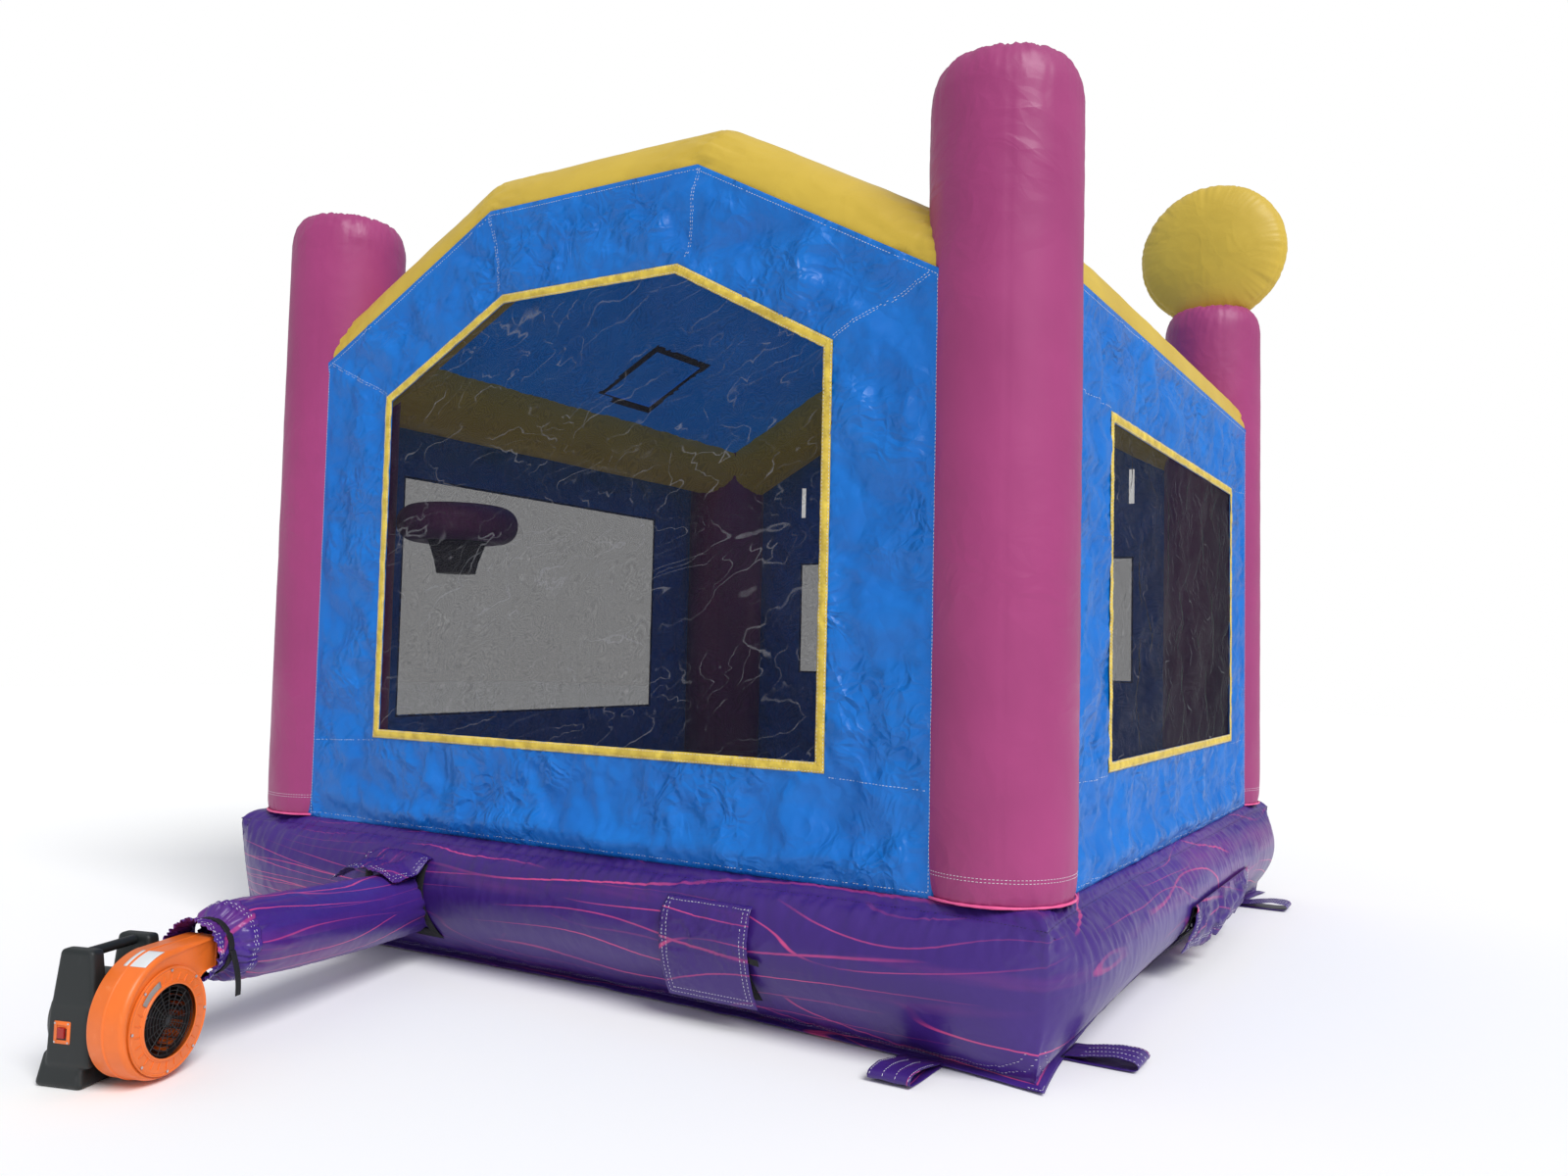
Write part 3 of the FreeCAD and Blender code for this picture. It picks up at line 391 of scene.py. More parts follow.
def weave_group():
    """Crossing threads under a coat, as a height from 0 to 1."""
    group, start, end = new_group("coated_weave", ["Height"], Threads=900.0)
    desk = Desk(group)
    parts = desk.node("SeparateXYZ", Vector=start.outputs["Vector"])
    waves = []
    for axis in range(3):
        turn = desk.times(parts.outputs[axis], start.outputs["Threads"])
        waves.append(desk.math("SINE", turn))
    total = desk.plus(desk.plus(waves[0], waves[1]), waves[2])
    desk.put(end.inputs["Height"], desk.ramp(total, -3.0, 3.0))
    return group


def crease_group():
    """Fine sharp creases that cross at random, as a height, and how worn or dusty each spot is."""
    group, start, end = new_group("fabric_creases", ["Height", "Patches"], Scale=3.0)
    desk = Desk(group)
    vector, scale = start.outputs["Vector"], start.outputs["Scale"]
    bent = desk.node("TexNoise", Vector=vector, Scale=scale, Detail=2.0)
    shifted = desk.node("MixRGB", {"blend_type": "ADD"}, Fac=0.35, Color1=vector,
                        Color2=bent.outputs["Color"])
    leaning = desk.node("Mapping", Vector=shifted.outputs[0], Rotation=(0.6, 0.75, 0.5),
                        Scale=(1.0, 0.42, 1.0))
    total = 0.0
    for grow, share in ((1.0, 0.5), (2.3, 0.3), (5.1, 0.2)):
        size = desk.times(scale, grow)
        cells = desk.node("TexVoronoi", {"feature": "DISTANCE_TO_EDGE"}, Vector=leaning.outputs[0],
                          Scale=size)
        facet = desk.times(desk.ramp(cells.outputs["Distance"], 0.0, 0.5), share)
        total = desk.plus(facet, total)
    where = desk.ramp(desk.noise(vector, desk.times(scale, 0.6), 3.0), 0.38, 0.62)
    soft = desk.noise(vector, desk.times(scale, 1.6), 4.0)
    kept = desk.times(desk.math("SUBTRACT", 1.0, total), where)
    desk.put(end.inputs["Height"], desk.plus(kept, desk.times(soft, 0.14)))
    desk.put(end.inputs["Patches"], desk.ramp(desk.noise(vector, scale, 5.0), 0.3, 0.7))
    return group


def marble_group():
    """Long thin streaks and a soft haze that flow along the first axis, as two masks."""
    group, start, end = new_group("marbled_print", ["Lines", "Haze", "Shade"])
    desk = Desk(group)
    vector = start.outputs["Vector"]
    long_flow = desk.node("Mapping", Vector=vector, Scale=(0.30, 1.3, 1.3)).outputs[0]
    parts = desk.node("SeparateXYZ", Vector=vector)
    across = desk.plus(parts.outputs[1], parts.outputs[2])
    lines = 0.0
    for seed, per_metre, wander, width in ((0.0, 6.5, 8.0, 0.014), (7.3, 12.0, 18.0, 0.016)):
        moved = desk.node("Mapping", Vector=long_flow, Location=(seed, seed, seed)).outputs[0]
        bend = desk.times(desk.noise(moved, 1.0, 2.0, 0.3), wander)
        turn = desk.math("FRACT", desk.plus(desk.times(across, per_metre), bend))
        away = desk.math("ABSOLUTE", desk.math("SUBTRACT", turn, 0.5))
        line = desk.ramp(away, width, width * 2.4, 1.0, 0.0)
        faded = desk.node("Mapping", Vector=vector, Scale=(0.55, 3.6, 3.6), Location=(seed, 2.0, seed))
        fade = desk.ramp(desk.noise(faded.outputs[0], 1.0, 2.0), 0.46, 0.60)
        lines = desk.math("MAXIMUM", lines, desk.times(line, fade))
    cloud = desk.node("Mapping", Vector=vector, Scale=(0.45, 5.0, 5.0), Location=(3.1, 1.7, 0.4))
    haze = desk.ramp(desk.noise(cloud.outputs[0], 1.0, 4.0, 0.4), 0.5, 0.76)
    desk.put(end.inputs["Lines"], lines)
    desk.put(end.inputs["Haze"], haze)
    desk.put(end.inputs["Shade"], desk.ramp(desk.noise(long_flow, 0.9, 3.0, 0.3), 0.3, 0.7))
    return group


WEAVE = weave_group()
CREASES = crease_group()
MARBLE = marble_group()
print("shader groups:", [g.name for g in (WEAVE, CREASES, MARBLE)])

# %% [markdown]
# ## The cloth materials
# One recipe makes every plain coated fabric, with its own colour, creases and gloss. The purple print
# adds thin pink streaks and a magenta haze that run along the piece, and the net lets light through.
# %% Coated fabric, marbled print, net, tape
CLOTH_SPECULAR = 0.35
CLOTH_THREADS = 1900.0


def new_look(name, roughness, metallic=0.0):
    material = bpy.data.materials.new(name)
    material.use_nodes = True
    desk = Desk(material.node_tree)
    shader = material.node_tree.nodes["Principled BSDF"]
    set_sockets(shader, Roughness=roughness, Metallic=metallic)
    return material, desk, shader


def set_sockets(shader, **values):
    for name, value in values.items():
        shader.inputs[name.replace("_", " ")].default_value = value


def use_group(desk, group, **wires):
    made = desk.tree.nodes.new("ShaderNodeGroup")
    made.node_tree = group
    for name, value in wires.items():
        desk.put(made.inputs[name], value)
    return made


def cloth_relief(desk, shader, vector, creases, depth, threads, thread_depth=0.00012):
    """Creases and weave as bump, and roughness that the creases break up."""
    folds = use_group(desk, CREASES, Vector=vector, Scale=creases)
    weave = use_group(desk, WEAVE, Vector=vector, Threads=threads)
    fine = desk.node("Bump", Height=weave.outputs["Height"], Distance=thread_depth, Strength=0.5)
    relief = desk.node("Bump", Height=folds.outputs["Height"], Distance=depth, Strength=0.8,
                       Normal=fine.outputs[0])
    desk.put(shader.inputs["Normal"], relief.outputs[0])
    return folds


def coated_fabric(name, colour, deep, creases=3.0, depth=0.008, gloss=0.42, threads=CLOTH_THREADS,
                  painted_glow=0.0):
    """A plain coated cloth: colour on the flats, a deeper tone in patches. Thin cloth gets a painted glow: it
    emits its own colour, standing in for daylight shining through it from behind."""
    material, desk, shader = new_look(name, gloss)
    vector = desk.node("TexCoord").outputs["Object"]
    folds = cloth_relief(desk, shader, vector, creases, depth, threads)
    tone = desk.blend(folds.outputs["Patches"], (*deep, 1), (*colour, 1))
    desk.put(shader.inputs["Base Color"], tone)
    # Painted light: emission in the cloth's own colour stands in for daylight coming through the fabric.
    desk.put(shader.inputs["Emission Color"], tone)
    set_sockets(shader, Emission_Strength=painted_glow, Specular_IOR_Level=CLOTH_SPECULAR)
    rough = desk.ramp(folds.outputs["Height"], 0.2, 1.0, gloss + 0.1, gloss - 0.06)
    desk.put(shader.inputs["Roughness"], rough)
    set_sockets(shader, Coat_Weight=0.12, Coat_Roughness=0.32)
    return material


def marbled_fabric(name, flow="UV", gloss=0.36, creases=2.2, depth=0.014, quarter_turn=False):
    """The purple print: dark and lighter violet, a magenta haze and thin pink streaks."""
    material, desk, shader = new_look(name, gloss)
    places = desk.node("TexCoord")
    vector = places.outputs[flow]
    if quarter_turn:
        vector = desk.node("Mapping", Vector=vector, Rotation=(0, 0, math.pi / 2)).outputs[0]
    print_ = use_group(desk, MARBLE, Vector=vector)
    violet = desk.blend(print_.outputs["Shade"], (0.036, 0.011, 0.145, 1), (0.066, 0.024, 0.245, 1))
    hazy = desk.blend(desk.times(print_.outputs["Haze"], 0.5), violet, (0.30, 0.045, 0.25, 1))
    streaked = desk.blend(desk.times(print_.outputs["Lines"], 0.8), hazy, (0.72, 0.075, 0.25, 1))
    desk.put(shader.inputs["Base Color"], streaked)
    cloth_relief(desk, shader, places.outputs["Object"], creases, depth, CLOTH_THREADS)
    set_sockets(shader, Specular_IOR_Level=CLOTH_SPECULAR, Coat_Weight=0.14, Coat_Roughness=0.25)
    return material


def window_net_look(name, colour=(0.008, 0.008, 0.013), cover=0.58):
    """Fine black net that the eye sees through, with long pale lines painted along its creases as highlights,
    where its threads would catch the light.
    """
    material, desk, shader = new_look(name, 0.6)
    vector = desk.node("TexCoord").outputs["Object"]
    folds = cloth_relief(desk, shader, vector, 2.2, 0.04, 1500.0)
    # Painted highlight: long thin diagonal lines, mixed towards pale grey in the colour, stand in for light
    # glinting off the net's creases; they also make the net a little denser.
    leaning = desk.node("Mapping", Vector=vector, Rotation=(0.55, 0.62, 0.0), Scale=(1.1, 2.3, 2.3))
    painted_glints = use_group(desk, MARBLE, Vector=leaning.outputs[0]).outputs["Lines"]
    dust = desk.times(folds.outputs["Patches"], 0.3)
    dusty = desk.blend(dust, (*colour, 1), (0.035, 0.035, 0.045, 1))
    glinted_colour = desk.blend(desk.times(painted_glints, 0.6), dusty, (0.20, 0.20, 0.22, 1))
    desk.put(shader.inputs["Base Color"], glinted_colour)
    set_sockets(shader, Specular_IOR_Level=0.15)
    threads = use_group(desk, WEAVE, Vector=vector, Threads=2900.0)
    solid = desk.ramp(threads.outputs["Height"], 0.2, 0.8, cover - 0.12, cover + 0.12)
    desk.put(shader.inputs["Alpha"], desk.plus(solid, desk.times(painted_glints, 0.12), clamp=True))
    return material


purple_print = marbled_fabric("purple_print")
purple_hoops = marbled_fabric("purple_print_round", quarter_turn=True)
magenta_cloth = coated_fabric("magenta_cloth", (0.35, 0.042, 0.175), (0.30, 0.035, 0.150), 2.4, 0.012, 0.44)
# Yellow, blue and roof cloth get a painted glow, emitted light standing in for daylight through the thin
# fabric.
yellow_cloth = coated_fabric("yellow_cloth", (0.57, 0.400, 0.050), (0.51, 0.350, 0.040), 2.6, 0.012, 0.46,
                             painted_glow=0.10)
blue_cloth = coated_fabric("blue_cloth", (0.0, 0.155, 0.57), (0.0, 0.125, 0.49), 3.6, 0.055, 0.40, painted_glow=0.04)
roof_look = coated_fabric("roof_cloth", (0.0, 0.150, 0.55), (0.0, 0.125, 0.48), 3.6, 0.040, 0.42, painted_glow=0.5)
floor_cloth = coated_fabric("floor_cloth", (0.02, 0.10, 0.34), (0.015, 0.08, 0.29), 3.0, 0.008, 0.5)
hoop_cloth = coated_fabric("hoop_cloth", (0.20, 0.03, 0.16), (0.16, 0.02, 0.13), 6.0, 0.005, 0.45)
inner_cloth = coated_fabric("inner_cloth", (0.62, 0.62, 0.64), (0.55, 0.55, 0.57), 4.0, 0.006, 0.6)
window_net = window_net_look("window_net")
yellow_tape = coated_fabric("yellow_tape", (0.84, 0.63, 0.09), (0.62, 0.43, 0.05), 30.0, 0.006, 0.5, 2600.0)
black_tape = coated_fabric("black_tape", (0.012, 0.012, 0.014), (0.008, 0.008, 0.009), 20.0, 0.004, 0.85,
                           3000.0)
pink_tape = coated_fabric("pink_tape", (0.86, 0.13, 0.33), (0.74, 0.09, 0.27), 12.0, 0.003, 0.45)
white_thread = coated_fabric("white_thread", (0.82, 0.82, 0.86), (0.7, 0.7, 0.74), 60.0, 0.001, 0.6, 4000.0)
dark_thread = coated_fabric("dark_thread", (0.02, 0.01, 0.05), (0.015, 0.008, 0.04), 60.0, 0.001, 0.6, 4000.0)
print(len([m for m in bpy.data.materials if m.use_nodes]), "materials so far")

# %% [markdown]
# ## Laying a grid over a shape
# An inflated piece is a closed skin whose rows follow its seams. A plain sphere or cube has no such
# rows, so these pieces start as a flat grid that is laid round the shape and sewn where its edges meet.
# Each point remembers how far round and how far up it lies, so the puckers can follow the seams.
# %% Grids, remembered values and the four sides
def remember(piece, name, numbers):
    layer = piece.data.attributes.new(name, "FLOAT", "POINT")
    layer.data.foreach_set("value", np.asarray(numbers, dtype=np.float32))


def remembered(piece, name):
    numbers = np.zeros(len(piece.data.vertices), dtype=np.float32)
    piece.data.attributes[name].data.foreach_get("value", numbers)
    return numbers.astype(float)


def laid_grid(across, up, shape, chart=None, sewn=0.0002):
    """A grid laid over shape(u, v), with u across it and v up it from 0 to 1, and its edges sewn where they
    meet. chart(u, v) gives the pattern's place in metres."""
    idle()
    bpy.ops.mesh.primitive_grid_add(x_subdivisions=across, y_subdivisions=up, size=1, calc_uvs=True)
    piece = bpy.context.object
    flat = places_of(piece) + 0.5
    u, v = np.clip(flat[:, 0], 0, 1), np.clip(flat[:, 1], 0, 1)
    if chart:
        corners = np.zeros(len(piece.data.loops), dtype=np.int32)
        piece.data.loops.foreach_get("vertex_index", corners)
        spots = np.stack(chart(u, v), axis=1)[corners]
        piece.data.uv_layers.active.data.foreach_set("uv", spots.astype(np.float32).ravel())
    move_to(piece, shape(u, v))
    remember(piece, "u", u)
    remember(piece, "v", v)
    if sewn:
        weld(piece, sewn)
    return piece


def rows(v, marks):
    """Spreads grid rows over chosen marks, so that rows can be close where the folds are."""
    marks = np.asarray(marks, dtype=float)
    return np.interp(v * (len(marks) - 1), np.arange(len(marks)), marks)


def to_quarter(places, quarter):
    """Places drawn for the rear side, turned to another side: 1 right, 2 front, 3 left."""
    angle = np.asarray(quarter) * math.pi / 2
    x = places[:, 0] * np.cos(angle) - places[:, 1] * np.sin(angle)
    y = places[:, 0] * np.sin(angle) + places[:, 1] * np.cos(angle)
    return xyz(x, y, places[:, 2])


def quarter_turn(piece, quarter):
    move_to(piece, to_quarter(places_of(piece), quarter))
    return piece


# %% [markdown]
# ## The base
# The base is one big air chamber. Thread along its top seam gathers the cloth into close puckers, the
# sides belly out between the corners, and the lower seam draws in under the house and ends in a flat
# hem. A bevelled cube would bulge the same everywhere, so a grid is laid round it instead: each side's
# profile is drawn for the distance to the nearest corner, and the top seam is one of its rows.
# %% The base's skin
BASE_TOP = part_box("bounce_floor")[0].z
WALL_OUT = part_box("wall_right")[1].x
BASE_HALF = 2.0
SIDE_GIRTH = 0.56
LEDGE = 0.105
HEM_WIDTH = 0.045
BASE_ROWS = np.concatenate([[-2.0, -0.9, -0.3], np.linspace(-0.19, -0.02, 13), np.linspace(-0.013, 0.013, 5),
                            np.linspace(0.02, 0.23, 17), np.linspace(0.25, 0.5, 12),
                            np.linspace(0.52, 0.56, 4), np.linspace(0.572, 0.605, 4), [0.62, 1.2, 2.4]])
BASE_CUTS = 1240


def base_profile(girth, from_corner):
    """How far out and up the base's skin lies, at a way down it from the top seam."""
    belly = 1 - np.exp(-from_corner / 0.18)
    seam_out, seam_up = 2.008 - 0.024 * belly, 0.510 + 0.012 * belly
    foot_out = 1.950 - 0.150 * (1 - np.exp(-from_corner / 0.75))
    ledge = np.clip(1 + girth / LEDGE, 0, 1)
    inner = 1.90
    out = inner + (seam_out - inner) * ledge
    up = BASE_TOP + (seam_up - BASE_TOP) * ledge ** 2.4 + 0.010 * np.sin(math.pi * ledge)
    out = np.where(girth < -LEDGE, inner * (2.0 + girth) / (2.0 - LEDGE), out)
    side = np.clip(girth / SIDE_GIRTH, 0, 1)
    below = girth > 0
    bulge = (0.168 * belly + 0.004) * np.sin(math.pi * side ** 0.93) ** 0.8
    out = np.where(below, seam_out + (foot_out - seam_out) * side + bulge, out)
    up = np.where(below, seam_up + (0.016 - seam_up) * side, up)
    hem = np.clip((girth - SIDE_GIRTH) / HEM_WIDTH, 0, 1)
    tuck = np.clip((girth - SIDE_GIRTH - HEM_WIDTH) / 1.795, 0, 1)
    out = np.where(girth > SIDE_GIRTH, (foot_out + HEM_WIDTH * hem) * (1 - tuck), out)
    up = np.where(girth > SIDE_GIRTH, 0.016 - 0.0125 * hem - 0.0035 * np.minimum(tuck * 40, 1), up)
    return out, up


def base_shape(u, v):
    side = np.minimum((u * 4).astype(int), 3)
    along = (u * 4 - side) * 2 - 1
    girth = rows(1 - v, BASE_ROWS)
    out, up = base_profile(girth, (1 - np.abs(along)) * BASE_HALF)
    corner_out = base_profile(girth, np.zeros(len(u)))[0]
    return to_quarter(xyz(along * corner_out, -out, up), side)


base = laid_grid(BASE_CUTS, len(BASE_ROWS) - 1, base_shape,
                 chart=lambda u, v: (u * 16.0, rows(1 - v, BASE_ROWS)))
print("base skin:", len(base.data.polygons), "faces")

# %% [markdown]
# Now the thread is pulled tight. Puckers fade away from the top seam, further down the side than on the
# ledge, and short ones cross the four upright corner seams.
# %% Puckers and dents in the base
def ring_of(u, half=BASE_HALF):
    """Where a share of the way round lies on a square, for folds that follow its sides."""
    side = np.minimum((u * 4).astype(int), 3)
    along = (u * 4 - side) * 2 - 1
    flat = xyz(along * half, -half, 0)
    return to_quarter(flat, side), along


def pucker_base(piece):
    u, v = remembered(piece, "u"), remembered(piece, "v")
    girth = rows(1 - v, BASE_ROWS)
    ring, along = ring_of(u)
    from_corner = (1 - np.abs(along)) * BASE_HALF
    near_folds = ring + xyz(0, 0, girth * 0.35)
    strength = 0.75 + 0.5 * lumps(ring / 0.5, 31)
    reach = np.where(girth > 0, 0.10 + 0.06 * (lumps(ring / 0.21, 32) + 1), 0.055)
    fade = np.exp(-np.abs(girth) / reach) * np.clip(np.abs(girth) / 0.012, 0, 1)
    height = -0.0125 * pleats(near_folds, 0.05, 33) * fade * strength
    height -= 0.006 * pleats(near_folds, 0.024, 34) * fade ** 1.6
    on_side = (girth > 0) & (girth < SIDE_GIRTH)
    upright = xyz(girth, np.sign(along) * 3 + np.round(u * 4), from_corner * 0.7)
    corner_fade = np.exp(-from_corner / 0.05) * np.clip(from_corner / 0.015, 0, 1) * on_side
    height -= 0.011 * pleats(upright, 0.036, 35) * corner_fade
    foot_fade = np.exp(-np.abs(SIDE_GIRTH - girth) / 0.06) * on_side
    height -= 0.006 * pleats(near_folds, 0.06, 36) * foot_fade
    places = places_of(piece)
    height += 0.0035 * slack(places, 37) * on_side
    long_folds = xyz(ring[:, 0] * 0.5, ring[:, 1] * 0.5, girth * 3.5)
    height += 0.004 * lumps(long_folds * 1.6, 38) * on_side
    height -= 0.006 * np.exp(-(girth / 0.007) ** 2)
    height[np.abs(girth) > 0.6] = 0
    swell(piece, height)
    places = places_of(piece)
    hem = (girth > SIDE_GIRTH) & (girth < 0.62)
    places[:, 2] += np.where(hem, 0.004 * (lumps(ring / 0.13, 39) + 0.6), 0)
    places[:, 2] = np.maximum(places[:, 2], 0.0002)
    beside = places[:, 1:] - (ZIP_LOW + ZIP_HIGH).yz / 2
    on_zip = (np.abs(beside) < (ZIP_HIGH - ZIP_LOW).yz / 2 + Vector((0.02, 0.01))).all(axis=1)
    on_zip &= places[:, 0] > 1.9
    places[on_zip, 0] = np.minimum(places[on_zip, 0], ZIP_LOW.x - 0.001)
    move_to(piece, places)


ZIP_LOW, ZIP_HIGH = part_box("zip_tape")
pucker_base(base)
finish_piece(base, "base_skin", purple_print, "base_vinyl", "base_mattress")

# %% [markdown]
# ## Bounce floor and baffles
# Inside the walls lies a darker blue floor. Upright baffles hold the base flat, and each one pulls the
# floor down into a shallow channel, which a few rows of a grid pushed down can show.
# %% Floor
floor_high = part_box("bounce_floor")[1]
BAFFLE_SPACING = 0.6
FLOOR_HALF = 1.935


def floor_shape(u, v):
    x, y = (u - 0.5) * 2 * FLOOR_HALF, (v - 0.5) * 2 * FLOOR_HALF
    to_channel = np.abs(x / BAFFLE_SPACING - np.round(x / BAFFLE_SPACING)) * BAFFLE_SPACING
    held_edge = 1 - np.maximum(np.abs(x), np.abs(y)) ** 8 / 198
    swell_up = 0.012 * (1 - np.exp(-(to_channel / 0.09) ** 2)) * held_edge
    height = floor_high.z + 0.001 + np.clip(swell_up, 0, 1)
    places = xyz(x, y, height)
    places[:, 2] += 0.003 * pleats(places * (0.35, 1, 0), 0.06, 41) * np.exp(-to_channel / 0.05)
    return places


bounce_floor = laid_grid(260, 200, floor_shape)
thicken(bounce_floor, 0.002, -1)
finish_piece(bounce_floor, "bounce_floor_sheet", floor_cloth, "floor_vinyl", "bounce_floor")

# %% [markdown]
# ## The four columns
# A column is a tube of four long panels. Its top is a small round cap sewn in with gathers, and
# between the cap and the straight tube the cloth rounds over. It is turned like a vase: one profile
# goes once round the axis. One column is shaped, and the other three are copies turned by a quarter,
# so each shows another side of the folds.
# %% Columns
COLUMN_LOW, COLUMN_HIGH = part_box("column_rear_right")
COLUMN_SPOT = ((COLUMN_LOW.x + COLUMN_HIGH.x) / 2, (COLUMN_LOW.y + COLUMN_HIGH.y) / 2)
COLUMN_RADIUS = (COLUMN_HIGH.x - COLUMN_LOW.x) / 2
COLUMN_TOP = COLUMN_HIGH.z
CAP_RADIUS = 0.185
SHOULDER = 0.17
SHOULDER_WAY = 0.215
COLUMN_WAY = 3.16
COLUMN_FOOT = COLUMN_LOW.z
COLUMN_ROWS = np.concatenate([[0, 0.004], np.linspace(0.012, 0.16, 9), np.linspace(0.2, 2.5, 64),
                              np.linspace(2.53, 2.9, 24), np.linspace(2.91, COLUMN_WAY, 26)])
COLUMN_STRAIGHT = COLUMN_TOP - COLUMN_FOOT - SHOULDER


def column_profile(way):
    """Radius and height at a way up the column's skin; past the shoulder the way runs in over the cap."""
    turn = np.clip((way - COLUMN_STRAIGHT) / SHOULDER_WAY, 0, 1) * math.pi / 2
    shoulder_in = COLUMN_RADIUS - CAP_RADIUS
    radius = COLUMN_RADIUS - shoulder_in * (1 - np.cos(turn) ** 0.9)
    height = COLUMN_FOOT + np.minimum(way, COLUMN_STRAIGHT) + (SHOULDER - 0.012) * np.sin(turn) ** 0.95
    cap_way = COLUMN_WAY - COLUMN_STRAIGHT - SHOULDER_WAY
    inward = np.clip((way - COLUMN_STRAIGHT - SHOULDER_WAY) / cap_way, 0, 1)
    radius = np.where(inward > 0, CAP_RADIUS * (1 - inward), radius)
    height = height + 0.020 * np.sin(inward * math.pi / 2)
    foot = np.exp(-way / 0.035)
    return radius - 0.012 * foot, height


def column_shape(u, v):
    radius, height = column_profile(rows(v, COLUMN_ROWS))
    angle = u * FULL_TURN
    return xyz(radius * np.cos(angle), radius * np.sin(angle), height)


def pucker_column(piece):
    places = places_of(piece)
    way = rows(remembered(piece, "v"), COLUMN_ROWS)
    angle = np.arctan2(places[:, 1], places[:, 0])
    ring = xyz(np.cos(angle), np.sin(angle), 0) * COLUMN_RADIUS
    cap_seam = COLUMN_STRAIGHT + SHOULDER_WAY
    reach = np.where(way > cap_seam, 0.045, 0.06 + 0.05 * (lumps(ring / 0.06, 51) + 1))
    fade = np.exp(-np.abs(way - cap_seam) / reach) * np.clip(np.abs(way - cap_seam) / 0.008, 0, 1)
    folds = ring + xyz(0, 0, way * 0.25)
    height = -0.012 * pleats(folds, 0.034, 52) * fade - 0.006 * pleats(folds, 0.018, 53) * fade
    height -= 0.006 * np.exp(-((way - cap_seam) / 0.006) ** 2)
    foot_fade = np.exp(-way / 0.05) * np.clip(way / 0.01, 0, 1)
    height -= 0.007 * pleats(folds, 0.045, 54) * foot_fade
    for seam in (0.4, 0.4 + math.pi / 2, 0.4 + math.pi, 0.4 - math.pi / 2):
        apart = np.abs((angle - seam + math.pi) % FULL_TURN - math.pi) * COLUMN_RADIUS
        cross = xyz(apart * 0.5, seam, way)
        beside = np.exp(-apart / 0.03) * np.clip(apart / 0.006, 0, 1)
        height -= 0.0028 * pleats(cross, 0.045, 55) * beside + 0.002 * np.exp(-(apart / 0.005) ** 2)
    leaning = places @ np.array([[1.0, 0, 0], [0, 1.0, 0], [0.35, 0.1, 1.0]])
    height += 0.0022 * slack(leaning * (2.2, 2.2, 0.9), 56) * (way < cap_seam)
    swell(piece, height)


column = laid_grid(150, len(COLUMN_ROWS) - 1, column_shape)
pucker_column(column)
CORNERS = (("rear_right", 1, -1, 0), ("rear_left", -1, -1, 1),
           ("front_right", 1, 1, 3), ("front_left", -1, 1, 2))
columns = {}
for name, side_x, side_y, quarter in CORNERS:
    piece = column if name == "rear_right" else copy_of(column, name)
    columns[name] = piece
for name, side_x, side_y, quarter in CORNERS:
    piece = columns[name]
    places = to_quarter(places_of(piece), quarter)
    places[:, 0] += side_x * abs(COLUMN_SPOT[0])
    places[:, 1] += side_y * abs(COLUMN_SPOT[1])
    move_to(piece, places)
    finish_piece(piece, f"column_skin_{name}", magenta_cloth, "column_vinyl", f"column_{name}")

# %% [markdown]
# ## Discs on the front columns
# Each front column carries a yellow balloon disc: two round faces sewn to a narrow strip. The thread
# pulls dozens of short puckers towards the middle of each face.
# %% Balloon discs
DISC_LOW, DISC_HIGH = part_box("disc_right")
DISC_RADIUS = (DISC_HIGH.x - DISC_LOW.x) / 2
DISC_HALF = (DISC_HIGH.y - DISC_LOW.y) / 2
STRIP_HALF = 0.038
FACE_ROWS = np.concatenate([np.linspace(0, 0.6, 12), np.linspace(0.63, 0.97, 24)])
DISC_ROWS = np.concatenate([FACE_ROWS, [0.99, 1.0, 1.01], np.linspace(1.04, 1.24, 8), [1.27, 1.28, 1.29],
                            2.28 - FACE_ROWS[::-1]])


def disc_shape(u, v):
    way = rows(v, DISC_ROWS)
    angle = u * FULL_TURN
    front = way < 1
    share = np.clip(np.where(front, way, 2.28 - way), 0, 1)
    on_strip = (way >= 1) & (way <= 1.28)
    depth = STRIP_HALF + (DISC_HALF - STRIP_HALF) * np.clip(1 - share ** 2.3, 0, 1) ** 0.62
    strip_way = np.clip((way - 1) / 0.28, 0, 1)
    radius = (DISC_RADIUS - 0.012) * share + np.where(on_strip, 0.014 * np.sin(strip_way * math.pi) ** 0.7, 0)
    y = np.where(on_strip, -STRIP_HALF + 2 * STRIP_HALF * strip_way, np.where(front, -depth, depth))
    return xyz(radius * np.cos(angle), y, radius * np.sin(angle))


def pucker_disc(piece):
    places = places_of(piece)
    way = rows(remembered(piece, "v"), DISC_ROWS)
    angle = np.arctan2(places[:, 2], places[:, 0])
    to_seam = np.minimum(np.abs(way - 1), np.abs(way - 1.28)) * DISC_RADIUS
    ring = xyz(np.cos(angle), np.sin(angle), np.sign(way - 1.14)) * DISC_RADIUS
    reach = 0.030 + 0.020 * (lumps(ring / 0.1, 61) + 1)
    fade = np.exp(-to_seam / reach) * np.clip(to_seam / 0.01, 0, 1)
    height = -0.008 * pleats(ring, 0.045, 62) * fade - 0.005 * pleats(ring, 0.024, 63) * fade
    height -= 0.005 * np.exp(-(to_seam / 0.006) ** 2)
    swell(piece, height + 0.002 * slack(places * 1.5, 64))


disc = laid_grid(220, len(DISC_ROWS) - 1, disc_shape)
pucker_disc(disc)
discs = {"disc_right": disc, "disc_left": copy_of(disc, "disc_left")}
for name, piece in discs.items():
    places = places_of(piece) * ((1, 1, 1) if name == "disc_right" else (-1, -1, 1))
    middle = (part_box(name)[0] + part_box(name)[1]) / 2
    move_to(piece, places + np.array([middle.x, middle.y, DISC_HIGH.z - DISC_RADIUS]))
    finish_piece(piece, name + "_skin", yellow_cloth, "yellow_vinyl", name)

